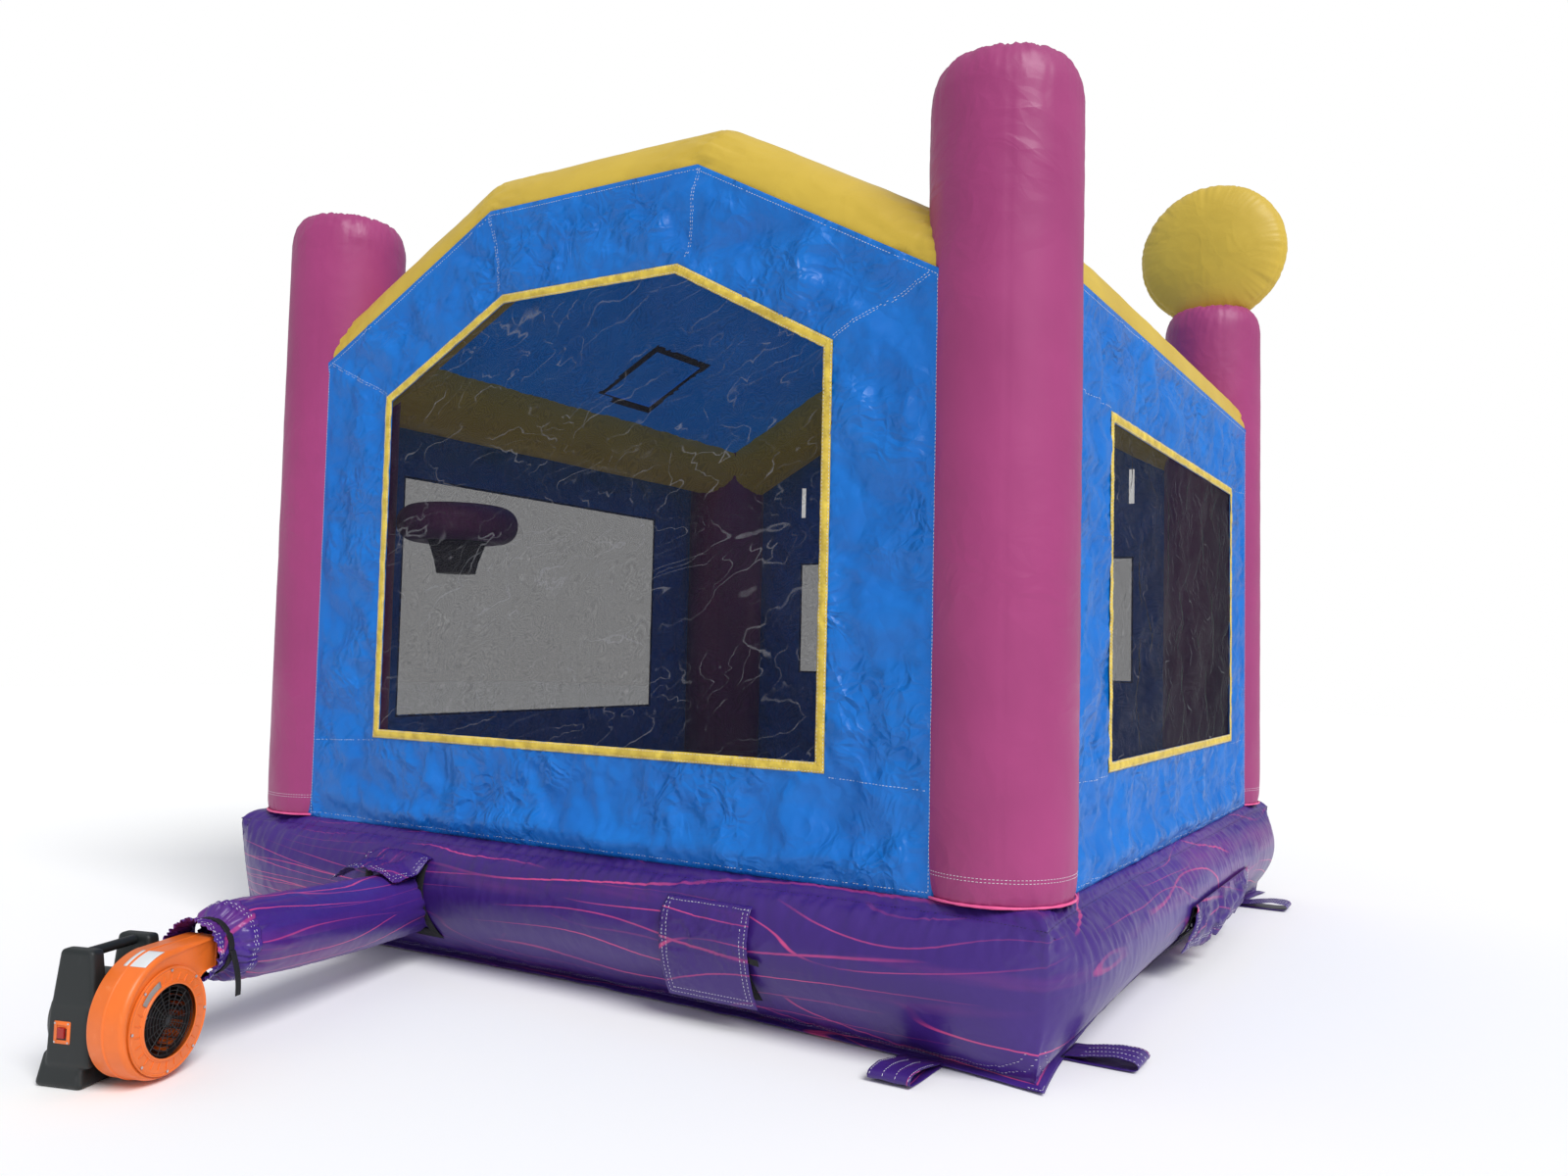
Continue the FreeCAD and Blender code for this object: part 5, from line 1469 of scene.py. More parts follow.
height = 0.010 * crown - 0.008 * pleats(step_places * (1, 1, 0.3), 0.045, 201) * np.exp(-to_seam / 0.06)
height[step_places[:, 2] < 0.02] = 0
swell(step, height + 0.002 * slack(step_places, 202) * (step_places[:, 2] > 0.02))
move_to(step, np.maximum(places_of(step), (-9, STEP_LOW.y - 0.004, 0.0005)))
step_print = marbled_fabric("purple_print_step", flow="Object")
finish_piece(step, "step_cushion", step_print, "base_vinyl", "entrance_step")

# %% [markdown]
# ## Flaps on the base
# Small flaps of the same purple cloth cover the openings in the base. Each is held shut by a frame of
# hook-and-loop strip, lies on the belly of the side, and has a sewn hem. They are grids laid over the
# side's own curve, about a centimetre out, and then crumpled by the cloth simulation. Near its seam
# the cloth stays with the base, so that a lifted flap bends there instead of tearing away.
# %% Shapes that follow the base's side
def side_out(height, from_corner=1.2):
    """How far out the base's side lies at a height."""
    girth = np.linspace(0, SIDE_GIRTH, 240)
    out, up = base_profile(girth, np.full(len(girth), from_corner))
    return np.interp(height, up[::-1], out[::-1])


def hug_side(piece, stand, hang=0.0):
    """Moves a piece drawn at y = 0 onto the base's side; with hang it falls freely below the belly."""
    places = places_of(piece)
    widest = side_out(np.linspace(0.02, 0.5, 60)).max()
    out = side_out(places[:, 2])
    low = places[:, 2] < 0.28
    out = np.where(low, out + (widest - out) * hang, out)
    places[:, 1] -= out + stand
    move_to(piece, places)
    return piece


SEAM_BEND = 0.05
FLAP_THICK = 0.0016


def seam_of(joint_name, along):
    """Where a flap's cloth starts and ends to bend: its hinge line, and a little way along the flap."""
    joint = next(j for j in frame["record"]["behaviour"]["joints"] if j["name"] == joint_name)
    hinge = Vector(joint["pos_m"])
    return hinge - Vector(along) * 0.004, hinge + Vector(along) * SEAM_BEND


REAR_SEAM = seam_of("rear_flap_hinge", (0, 0, -1))
SIDE_SEAM = seam_of("side_flap_hinge", (0, 0, -1))
INLET_SEAM = seam_of("inlet_flap_hinge", (0, -1, 0))


def fastener_frame(name, node, quarter, width=0.045):
    low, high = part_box(node)
    if quarter:
        corners = (low.y, low.z), (high.y, high.z)
    else:
        corners = (low.x, low.z), (high.x, high.z)
    piece = tape_frame(box_outline(*corners), width, 0.0, 210 + quarter)
    quarter_turn(hug_side(piece, 0.002), quarter)
    finish_piece(piece, name, black_tape, "hook_and_loop", node)


fastener_frame("rear_flap_strip", "rear_flap_fastener", 0)
fastener_frame("inlet_strip", "inlet_flap_fastener", 0)
fastener_frame("side_flap_strip", "side_flap_fastener", 1)


def sewn_flap(low, high, cell=0.008):
    """A hemmed cloth standing at y = 0 between two corners in x and z."""
    wide, tall = high[0] - low[0], high[1] - low[1]
    return laid_grid(int(wide / cell), int(tall / cell),
                     lambda u, v: xyz(low[0] + wide * u, 0, low[1] + tall * v),
                     chart=lambda u, v: (u * wide + 3.1, v * tall))


flap_low, flap_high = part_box("rear_flap")
rear_flap = sewn_flap((flap_low.x, flap_low.z), (flap_high.x, flap_high.z + 0.004))
hug_side(rear_flap, 0.013, hang=0.45)
crumple(rear_flap, remembered(rear_flap, "v") > 0.98, 0.04, 221, most=0.012, bulge=0.003, sink=0.001)
thicken(rear_flap, FLAP_THICK)
finish_piece(rear_flap, "rear_flap_cloth", purple_print, "base_vinyl", "rear_flap", body="rear_pocket_flap",
             seam=REAR_SEAM)

# %% [markdown]
# The inlet cover is lifted out of the way: it lies crumpled over the tube. The flap on the right side is
# bunched into a loose pouch over its zip.
# %% Inlet cover and side flap
inlet_low, inlet_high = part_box("inlet_flap")
INLET_REACH = inlet_high.y - inlet_low.y
INLET_X = (inlet_low.x + inlet_high.x) / 2


def inlet_shape(u, v):
    x = inlet_low.x + (inlet_high.x - inlet_low.x) * u
    reach = (1 - v) * INLET_REACH
    over = np.abs(x - INLET_X - 0.02) / 0.185
    drop = 0.055 * over ** 2.2 * np.minimum(reach / 0.08, 1)
    rise = 0.028 * np.sin(np.minimum(reach / 0.12, 1) * math.pi) - 0.10 * reach
    folds = 0.016 * lumps(xyz(x * 2.2 + reach, reach * 1.2, 0) / 0.14, 231)
    z = inlet_high.z + 0.004 + rise - drop + folds * np.minimum(reach / 0.05, 1)
    y = inlet_high.y + 0.035 - reach * (1 - 0.08 * over)
    return xyz(x, y, z)


inlet_flap = laid_grid(52, 36, inlet_shape, chart=lambda u, v: (v * 0.25 + 1.0, u * 0.37))
crumple(inlet_flap, remembered(inlet_flap, "v") > 0.97, 0.05, 232, most=0.02, out=(0, 0, 1), bulge=0.006)
thicken(inlet_flap, FLAP_THICK)
finish_piece(inlet_flap, "inlet_flap_cloth", purple_print, "base_vinyl", "inlet_flap",
             body="inlet_cover_flap", seam=INLET_SEAM)

pouch_low, pouch_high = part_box("side_flap")
side_flap = sewn_flap((pouch_low.y, pouch_low.z), (pouch_high.y, pouch_high.z), cell=0.010)
pouch_u, pouch_v = remembered(side_flap, "u"), remembered(side_flap, "v")
hug_side(side_flap, 0.010, hang=0.5)
pouch_places = places_of(side_flap)
swelling = 0.030 * np.sin(pouch_u * math.pi) ** 0.5 * np.sin(np.clip(1 - pouch_v, 0, 1) * math.pi * 0.8)
swelling *= 1 + 0.9 * lumps(pouch_places * (1.2, 0, 2.0) / 0.1, 241)
pouch_places[:, 1] -= np.clip(swelling, 0, 0.05)
across = xyz(pouch_places[:, 0], 0, 0)
pouch_places[:, 2] += 0.03 * lumps(across / 0.2, 242) * (1 - pouch_v)
move_to(side_flap, pouch_places)
crumple(side_flap, pouch_v > 0.98, 0.05, 243, most=0.022, bulge=0.008, sink=0.002)
quarter_turn(side_flap, 1)
thicken(side_flap, FLAP_THICK)
finish_piece(side_flap, "side_flap_cloth", purple_print, "base_vinyl", "side_flap", body="side_zip_flap",
             seam=SIDE_SEAM)

# %% [markdown]
# ## Anchor loops
# Webbing loops for the ground stakes are sewn under the hem, two on each side. One strap is bent along
# its path, given a pink tape down its middle, and copied to the other seven places.
# %% Anchor loops
LOOP_REACH = -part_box("anchor_loops")[0].y
LOOP_SPREAD = 1.55
LOOP_HALF_WIDTH = 0.075
LOOP_PATH = np.array([(1.90, 0.0022), (2.06, 0.0030), (2.13, 0.0034), (LOOP_REACH - 0.018, 0.0060),
                      (LOOP_REACH - 0.004, 0.016), (LOOP_REACH - 0.010, 0.031), (LOOP_REACH - 0.035, 0.0395),
                      (2.10, 0.040), (2.05, 0.033), (1.99, 0.021), (1.93, 0.014)])


def smooth_path(path, count):
    """Even points along a smooth curve through the middle of a path's runs."""
    idle()
    line = bpy.data.curves.new("path", "CURVE")
    line.dimensions = "3D"
    line.resolution_u = 16
    spline = line.splines.new("NURBS")
    spline.points.add(len(path) - 1)
    for point, spot in zip(spline.points, path):
        point.co = (*spot, 0, 1) if len(spot) == 2 else (*spot, 1)
    spline.order_u = 3
    spline.use_endpoint_u = True
    holder = bpy.data.objects.new("path", line)
    mesh = bpy.data.meshes.new_from_object(holder)
    found = np.array([tuple(vertex.co) for vertex in mesh.vertices])[:, :len(path[0])]
    bpy.data.objects.remove(holder)
    bpy.data.curves.remove(line)
    bpy.data.meshes.remove(mesh)
    ways = ways_along(found)
    return read_off(np.linspace(0, ways[-1], count), ways, found), ways[-1]


def strap_along(path, half_width, across, count, thick, lift=0.0, curl=0.004, seed=0):
    """A strap that follows a path of (out, up) points, with its width along x."""
    line, length = smooth_path(path, count)
    turns = np.gradient(line, axis=0)
    turns /= np.linalg.norm(turns, axis=1)[:, None]

    def shape(u, v):
        at = v * (count - 1)
        out = np.interp(at, np.arange(count), line[:, 0] + turns[:, 1] * lift)
        up = np.interp(at, np.arange(count), line[:, 1] - turns[:, 0] * lift)
        x = (u - 0.5) * 2 * half_width
        wave = curl * lumps(xyz(x, out, up) / 0.06, seed)
        return xyz(x, -out, np.maximum(up + np.abs(wave), 0.0015))

    piece = laid_grid(across, count - 1, shape, chart=lambda u, v: (v * length, u * 2 * half_width))
    thicken(piece, thick)
    return piece


strap = strap_along(LOOP_PATH, LOOP_HALF_WIDTH, 16, 56, 0.0022, seed=251)
stripe = strap_along(LOOP_PATH[3:], 0.019, 5, 40, 0.0012, lift=-0.0022, seed=251)
loops, stripes = [], []
for quarter in range(4):
    for side in (-1, 1):
        for source, kept_copies in ((strap, loops), (stripe, stripes)):
            twin = copy_of(source, "loop")
            move_to(twin, to_quarter(places_of(twin) + np.array([side * LOOP_SPREAD, 0, 0]), quarter))
            kept_copies.append(twin)
idle()
strap.select_set(True)
stripe.select_set(True)
bpy.ops.object.delete()
loop_straps = join("anchor_straps", loops)
finish_piece(loop_straps, "anchor_straps", purple_print, "base_vinyl", "anchor_loops")
finish_piece(join("anchor_stripes", stripes), "anchor_stripes", pink_tape, "base_vinyl")

# %% [markdown]
# ## Inflation tube, cuff and strap
# The tube is sewn into the base and ends in a cuff that is pulled over the blower's nozzle and cinched
# with a strap. All three are drawn in the blower's own frame, in which the outlet points along Y, and
# moved with it. Air leaks here, so the cuff is gathered into deep folds that run along it.
# %% The blower's own frame
fan = next(joint for joint in frame["record"]["behaviour"]["joints"] if joint["name"] == "fan_spin")
fan_place, fan_axis = Vector(fan["pos_m"]), Vector(fan["axis"])
facing = math.atan2(fan_axis.y, fan_axis.x)
BLOWER = Matrix.Translation((fan_place.x, fan_place.y, 0)) @ Matrix.Rotation(facing, 4, "Z")
FAN_UP = fan_place.z


def onto_blower(piece):
    move_to(piece, turned(places_of(piece), BLOWER))
    return piece


TUBE_X = -0.065
TUBE_RADIUS = 0.136
TUBE_START, TUBE_END = (0.318, 0.348), (1.50, 0.258)
TUBE_LENGTH = math.dist(TUBE_START, TUBE_END)


def tube_places(u, v):
    angle = u * FULL_TURN
    way = v * TUBE_LENGTH
    sag = -0.010 * np.sin(v * math.pi)
    bow = 0.004 * np.sin(v * math.pi * 3)
    radius = TUBE_RADIUS * (1 + 0.03 * np.sin(v * math.pi) - 0.10 * np.exp(-way / 0.03))
    radius = radius * np.clip(np.minimum(v, 1 - v) / 0.004, 0, 1)
    y = TUBE_START[0] + (TUBE_END[0] - TUBE_START[0]) * v
    z = TUBE_START[1] + (TUBE_END[1] - TUBE_START[1]) * v + sag
    return xyz(TUBE_X + bow + radius * np.cos(angle), y, z + radius * np.sin(angle))


tube = laid_grid(112, 230, tube_places, chart=lambda u, v: (u * 0.86, v * TUBE_LENGTH + 2.0))
u, v = remembered(tube, "u"), remembered(tube, "v")
tube_ring = xyz(np.cos(u * FULL_TURN), np.sin(u * FULL_TURN), v * 1.2) * TUBE_RADIUS
near, far = v * TUBE_LENGTH, (1 - v) * TUBE_LENGTH - 0.11
height = -0.020 * pleats(tube_ring, 0.038, 261) * np.exp(-near / 0.09)
height -= 0.010 * pleats(tube_ring, 0.02, 262) * np.exp(-near / 0.05)
height -= 0.012 * pleats(tube_ring, 0.045, 263) * np.exp(-np.abs(far) / 0.07)
skewed = tube_ring + xyz(0, 0, v * TUBE_LENGTH)
height += 0.0035 * slack(skewed * (1.2, 1.2, 1.6), 264)
height[(v < 0.003) | (v > 0.997)] = 0
swell(tube, height)
onto_blower(tube)
finish_piece(tube, "inflation_tube_skin", purple_hoops, "base_vinyl", "inflation_tube")

CUFF_FROM, CUFF_TO = 0.166, 0.345
CINCH_AT, CINCH_WIDTH = 0.232, 0.025
CINCH_MIDDLE = CINCH_AT + CINCH_WIDTH / 2
CUFF_LINE = np.array([(CUFF_FROM, 0.104), (0.19, 0.100), (0.222, 0.091), (CINCH_MIDDLE, 0.088),
                      (0.27, 0.096), (0.30, 0.120), (CUFF_TO, 0.131)])


def cuff_places(u, v):
    angle = u * FULL_TURN
    y = CUFF_FROM + (CUFF_TO - CUFF_FROM) * v
    radius = np.interp(y, CUFF_LINE[:, 0], CUFF_LINE[:, 1])
    ring = xyz(np.cos(angle), np.sin(angle), v * 0.5) * 0.11
    depth = np.interp(y, [CUFF_FROM, 0.21, CINCH_MIDDLE, 0.29, CUFF_TO],
                      [0.016, 0.009, 0.003, 0.014, 0.010])
    radius = radius + depth * (0.5 - pleats(ring, 0.024, 265) - 0.4 * lumps(ring / 0.06, 266))
    return xyz(TUBE_X + radius * np.cos(angle), y, TUBE_START[1] + radius * np.sin(angle))


cuff = laid_grid(200, 46, cuff_places, chart=lambda u, v: (u * 0.7, v * 0.2 + 4.0))
onto_blower(cuff)
thicken(cuff, FLAP_THICK)
finish_piece(cuff, "tube_cuff_cloth", purple_hoops, "base_vinyl", "tube_cuff")


def cinch_places(u, v):
    angle = u * FULL_TURN
    ring = xyz(np.cos(angle), np.sin(angle), 0)
    radius = 0.0935 + 0.0015 * lumps(ring * 3, 267)
    x, z = TUBE_X + radius * np.cos(angle), TUBE_START[1] + radius * np.sin(angle)
    return xyz(x, CINCH_AT + CINCH_WIDTH * v, z)


cinch = laid_grid(120, 4, cinch_places)
thicken(cinch, 0.0025)


def tail_places(u, v):
    """The strap's loose end, which hangs from its buckle beside the cuff."""
    fall = u * 0.15
    x = TUBE_X + 0.097 + 0.012 * np.sin(u * 2.6) + 0.006 * u
    y = CINCH_AT + CINCH_WIDTH * v + 0.02 * u
    return xyz(x, y, TUBE_START[1] - 0.005 - fall)


cinch_tail = laid_grid(24, 4, tail_places)
thicken(cinch_tail, 0.0022)
cinch = onto_blower(join("cinch", [cinch, cinch_tail]))
finish_piece(cinch, "cinch_strap_webbing", black_tape, "strap_webbing", "cinch_strap")

tie_low, tie_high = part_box("tie_strap")


def tie_places(u, v):
    x = tie_low.x + (tie_high.x - tie_low.x + 0.02) * u
    z = (tie_low.z + tie_high.z) / 2 + (v - 0.5) * 0.022 - 0.02 * u ** 3
    out = side_out(z) + 0.006 + 0.012 * np.clip(u * 3 - 2, 0, 1) * (1 + 0.5 * np.sin(u * 30))
    return xyz(x, -out, z)


tie = laid_grid(60, 4, tie_places)
thicken(tie, 0.002)
finish_piece(tie, "tie_strap_webbing", black_tape, "strap_webbing", "tie_strap")

# %% [markdown]
# ## Plastic, wire and metal
# The blower is moulded plastic with a fine spark texture, scuffed here and there. One recipe gives each
# moulding its colour, its grain and its scuffs; the metal parts get brushed or painted finishes.
# %% Moulded plastic and metal
def scuff_group():
    """Where a hard surface is scratched and dusty, and a fine moulded grain."""
    group, start, end = new_group("scuffs_and_grain", ["Scuffs", "Grain Height"], Grain=900.0)
    desk = Desk(group)
    vector = start.outputs["Vector"]
    stretched = desk.node("Mapping", Vector=vector, Scale=(9, 60, 9), Rotation=(0.3, 0.2, 0.8))
    lines = desk.ramp(desk.noise(stretched.outputs[0], 2.0, 4.0), 0.60, 0.72)
    cloud = desk.ramp(desk.noise(vector, 14.0, 5.0), 0.45, 0.7)
    desk.put(end.inputs["Scuffs"], desk.times(lines, cloud))
    desk.put(end.inputs["Grain Height"], desk.noise(vector, start.outputs["Grain"], 2.0))
    return group


SCUFFS = scuff_group()


def moulded(name, colour, gloss, worn, grain=900.0, depth=0.0004, metallic=0.0):
    material, desk, shader = new_look(name, gloss, metallic)
    vector = desk.node("TexCoord").outputs["Object"]
    marks = use_group(desk, SCUFFS, Vector=vector, Grain=grain)
    tone = desk.ramp(desk.noise(vector, 9.0, 3.0), 0.3, 0.7)
    plain = desk.blend(tone, tuple(c * 0.86 for c in colour) + (1,), (*colour, 1))
    scuffed = desk.times(marks.outputs["Scuffs"], 0.35)
    desk.put(shader.inputs["Base Color"], desk.blend(scuffed, plain, (*worn, 1)))
    rough = desk.plus(desk.times(marks.outputs["Scuffs"], 0.2), gloss, clamp=True)
    desk.put(shader.inputs["Roughness"], rough)
    relief = desk.node("Bump", Height=marks.outputs["Grain Height"], Distance=depth, Strength=0.5)
    desk.put(shader.inputs["Normal"], relief.outputs[0])
    return material


orange_plastic = moulded("orange_plastic", (0.87, 0.175, 0.022), 0.38, (0.95, 0.42, 0.2))
black_plastic = moulded("black_plastic", (0.010, 0.014, 0.015), 0.52, (0.08, 0.08, 0.09), 700.0, 0.0007)
grille_wire = moulded("grille_wire", (0.014, 0.014, 0.015), 0.42, (0.1, 0.1, 0.1))
impeller_plastic = moulded("impeller_plastic", (0.018, 0.018, 0.020), 0.5, (0.08, 0.08, 0.08))
bright_steel = moulded("bright_steel", (0.62, 0.62, 0.64), 0.3, (0.8, 0.8, 0.8), 1500.0, 0.0001, 0.95)
motor_paint = moulded("motor_paint", (0.10, 0.11, 0.12), 0.5, (0.3, 0.3, 0.3))
rocker_plastic = moulded("rocker_plastic", (0.36, 0.012, 0.010), 0.25, (0.6, 0.2, 0.2))
blank_label = moulded("blank_label", (0.74, 0.76, 0.78), 0.45, (0.6, 0.6, 0.6))
grey_label = moulded("grey_label", (0.30, 0.27, 0.25), 0.5, (0.4, 0.4, 0.4))

# %% [markdown]
# ## The blower's scroll
# Air leaves the fan wheel all round and is gathered by a casing whose radius grows towards the outlet.
# The outline is drawn once, as a spiral with a straight outlet, and the skin's rows step inwards from
# it: a rounded edge at the back and front, a parting rib, and a flat face up to the cover's seat.
# %% Scroll casing
VOLUTE_DEPTH = 0.130
SCROLL_RADII = (0.166, 0.172, 0.188, 0.213)
MOUTH_OUT, MOUTH_TOP, MOUTH_LOW = 0.225, 0.213, 0.117
COVER_RADIUS, COVER_THICK = 0.163, 0.006
turns = np.linspace(0, 270, 136)
spiral_radii = np.interp(turns, (0, 90, 180, 270), SCROLL_RADII)
spiral = xyz(spiral_radii * np.cos(np.radians(turns)), -spiral_radii * np.sin(np.radians(turns)))
tongue = math.sqrt(SCROLL_RADII[0] ** 2 - MOUTH_LOW ** 2)
tongue_angle = math.degrees(math.atan2(MOUTH_LOW, tongue))
corner_round = np.array([(MOUTH_OUT - 0.004, MOUTH_TOP), (MOUTH_OUT, MOUTH_TOP - 0.004)])
outlet_top = np.linspace((0, MOUTH_TOP), corner_round[0], 26)[1:]
outlet_end = np.linspace(corner_round[1], (MOUTH_OUT, MOUTH_LOW), 12)
outlet_low = np.linspace((MOUTH_OUT, MOUTH_LOW), (tongue, MOUTH_LOW), 14)[1:]
back_turn = np.radians(np.linspace(tongue_angle, 0, 24))[1:]
tongue_arc = SCROLL_RADII[0] * xyz(np.cos(back_turn), np.sin(back_turn))
SCROLL = np.concatenate([spiral, outlet_top, outlet_end, outlet_low, tongue_arc])
rest = len(SCROLL) - len(turns)
seat_angles = np.concatenate([-turns, np.linspace(-270, -360, rest + 1)[1:]])
SEAT = xyz(np.cos(np.radians(seat_angles)), np.sin(np.radians(seat_angles)))
SCROLL_ROWS = (
    # x, step in from the outline, share of the way to the seat, the seat's radius
    (-0.130, 1.0, 1.0, 0.058), (-0.130, 0.013, 0.6, 0.1645), (-0.1285, 0.007, 0.45, 0.1645),
    (-0.124, 0.002, 0.2, 0.1645), (-0.118, 0.0, 0.0, 0.1645), (-0.074, 0.0, 0.0, 0.1645),
    (-0.072, -0.003, 1.0, 0.1645), (-0.066, -0.003, 1.0, 0.1645), (-0.064, 0.0, 0.0, 0.1645),
    (-0.016, 0.0, 0.0, 0.1645), (-0.009, 0.0015, 0.2, 0.1645), (-0.004, 0.005, 0.4, 0.1645),
    (-0.001, 0.010, 0.55, 0.1645), (0.000, 0.014, 0.65, 0.1645), (0.000, 0.019, 0.8, 0.1645),
    (-0.003, 0.021, 0.86, 0.1645), (-0.003, 1.0, 1.0, 0.1645), (-0.003, 1.0, 1.0, 0.142),
    (-0.012, 1.0, 1.0, 0.140),
)


def scroll_shape(u, v):
    around_at = u * (len(SCROLL) - 1)
    marks = np.arange(len(SCROLL))
    spot, seat = read_off(around_at, marks, SCROLL), read_off(around_at, marks, SEAT)
    table = np.array(SCROLL_ROWS)
    row = v * (len(table) - 1)
    x, step, share, radius = (np.interp(row, np.arange(len(table)), table[:, i]) for i in range(4))
    inward = seat * radius[:, None] - spot
    room = np.linalg.norm(inward, axis=1)
    moved = np.minimum(step, share * room) / np.maximum(room, 1e-9)
    spot = spot + inward * moved[:, None]
    return xyz(x, spot[:, 0], spot[:, 1] + FAN_UP)


volute = laid_grid(len(SCROLL) - 1, len(SCROLL_ROWS) - 1, scroll_shape)
modify(volute, "BEVEL", width=0.0012, segments=2, angle_limit=math.radians(28))
onto_blower(volute)
finish_piece(volute, "volute_casing", orange_plastic, "fan_orange", "volute_housing", angle=35)

# %% [markdown]
# The cover is a turned disc with a raised lip, a groove inside its rim and short curved ribs round the
# hole. It is made from a cylinder by insetting and pushing its front face again and again.
# %% Intake cover
def cylinder_along_x(radius, depth, x, vertices=128):
    """A cylinder along the fan's axis that starts at x."""
    idle()
    bpy.ops.mesh.primitive_cylinder_add(vertices=vertices, radius=radius, depth=depth, end_fill_type="NGON",
                                        location=(x + depth / 2, 0, FAN_UP), rotation=(0, math.pi / 2, 0))
    return settle()


cover = cylinder_along_x(COVER_RADIUS, COVER_THICK, 0.0)
pick(cover, lambda centre, normal: normal.x > 0.9 and centre.x > COVER_THICK - 0.001)
COVER_STEPS = ((0.004, 0.0), (0.0015, -0.0016), (0.004, 0.0), (0.0015, 0.0016), (0.030, 0.0),
               (0.001, 0.003), (0.004, 0.0), (0.001, 0.003), (0.006, 0.0))
for narrower, push in COVER_STEPS:
    bpy.ops.mesh.inset(thickness=narrower, depth=0)
    if push:
        bpy.ops.transform.translate(value=(push, 0, 0))
bpy.ops.mesh.delete(type="FACE")
idle()
pick(cover, lambda centre, normal: normal.x < -0.9)
bpy.ops.mesh.delete(type="FACE")
idle()
thicken(cover, 0.0025, -1)
modify(cover, "BEVEL", width=0.0006, segments=2, angle_limit=math.radians(30))

RIB_COUNT = 26
rib = add_block((COVER_THICK + 0.0006, 0, FAN_UP + 0.1325), (0.0032, 0.006, 0.024))
pick(rib, lambda centre, normal: normal.z > 0.9)
bpy.ops.transform.resize(value=(1, 0.35, 1))
bpy.ops.transform.translate(value=(0, 0.005, 0))
idle()
modify(rib, "BEVEL", width=0.0012, segments=2, limit_method="NONE")
ribs = []
for number in range(RIB_COUNT):
    twin = copy_of(rib, "rib")
    spin = Matrix.Translation((0, 0, FAN_UP)) @ Matrix.Rotation(number / RIB_COUNT * 2 * math.pi, 4, "X") \
        @ Matrix.Translation((0, 0, -FAN_UP))
    move_to(twin, turned(places_of(twin), spin))
    ribs.append(twin)
bpy.data.objects.remove(rib)
cover = onto_blower(join("cover", [cover] + ribs))
finish_piece(cover, "intake_cover_plate", orange_plastic, "fan_orange", "intake_cover", angle=35)

# %% [markdown]
# The guard over the hole is welded wire: rings and spokes, each a thin round rod.
# %% Wire guard
rods = []
for number in range(1, 9):
    idle()
    bpy.ops.mesh.primitive_torus_add(major_radius=0.0128 * number, minor_radius=0.0011,
                                     major_segments=56, minor_segments=6,
                                     location=(0.003, 0, FAN_UP), rotation=(0, math.pi / 2, 0))
    rods.append(settle())
for number in range(8):
    idle()
    bpy.ops.mesh.primitive_cylinder_add(vertices=8, radius=0.0014, depth=0.207, location=(0.0015, 0, FAN_UP),
                                        rotation=(number * math.pi / 8, 0, 0))
    rods.append(settle())
idle()
guard = onto_blower(join("guard", rods))
finish_piece(guard, "wire_guard", grille_wire, "grille_black", "intake_grille", angle=60)

# %% [markdown]
# ## Motor cover with its handle
# The black moulding is a drum on a flared foot, with two posts that hold the carrying bar. The blocks
# are joined with Remesh, so that they melt into one skin with soft corners as a moulding has.
# %% Motor cover
DRUM_RADIUS, DRUM_LENGTH = 0.140, 0.212
HOUSING_BACK = -0.345
HOUSING_VOXEL = 0.0035
GRIP_AT, GRIP_UP = -0.217, 0.394


def shaped_block(low, high, ends, round_by):
    """A block between two corners; ends(piece) reshapes it before its edges are rounded."""
    piece = add_block((Vector(low) + Vector(high)) / 2, Vector(high) - Vector(low))
    ends(piece)
    modify(piece, "BEVEL", width=round_by, segments=4, limit_method="NONE")
    return piece


def narrow_top(x_share, y_share, x_shift=0.0):
    def ends(piece):
        pick(piece, lambda centre, normal: normal.z > 0.9)
        bpy.ops.transform.resize(value=(x_share, y_share, 1))
        bpy.ops.transform.translate(value=(x_shift, 0, 0))
        idle()
    return ends


drum = cylinder_along_x(DRUM_RADIUS, DRUM_LENGTH, -VOLUTE_DEPTH - DRUM_LENGTH, vertices=96)
pick(drum, lambda middle, along: middle.x < -VOLUTE_DEPTH - DRUM_LENGTH + 0.001, "EDGE")
bpy.ops.mesh.bevel(offset=0.055, segments=10, affect="EDGES")
idle()
skirt = shaped_block((HOUSING_BACK, -0.150, 0.0), (-0.172, 0.150, 0.105), narrow_top(0.80, 0.90), 0.014)
posts = [shaped_block((-0.300, y, 0.235), (-0.140, y + 0.064, 0.412), narrow_top(0.74, 0.78), 0.012)
         for y in (-0.146, 0.082)]
waists = [shaped_block((-0.312, y, 0.06), (-0.150, y + 0.034, 0.26), narrow_top(0.9, 0.9), 0.014)
          for y in (-0.146, 0.112)]
arch_cut = cylinder_along_x(0.088, 0.30, -0.50, vertices=64)
nudge(arch_cut, (0, 0, -FAN_UP - 0.045))
housing = join("housing", [drum, skirt] + posts + waists)
modify(housing, "REMESH", mode="VOXEL", voxel_size=HOUSING_VOXEL)
modify(housing, "BOOLEAN", operation="DIFFERENCE", object=arch_cut)
bpy.data.objects.remove(arch_cut)
modify(housing, "REMESH", mode="VOXEL", voxel_size=HOUSING_VOXEL)
modify(housing, "SMOOTH", factor=0.5, iterations=5)
housing_places = places_of(housing)
housing_places[:, 2] = np.maximum(housing_places[:, 2], 0.0)
move_to(housing, housing_places)
onto_blower(housing)
finish_piece(housing, "motor_cover", black_plastic, "fan_black", "motor_housing", angle=50)

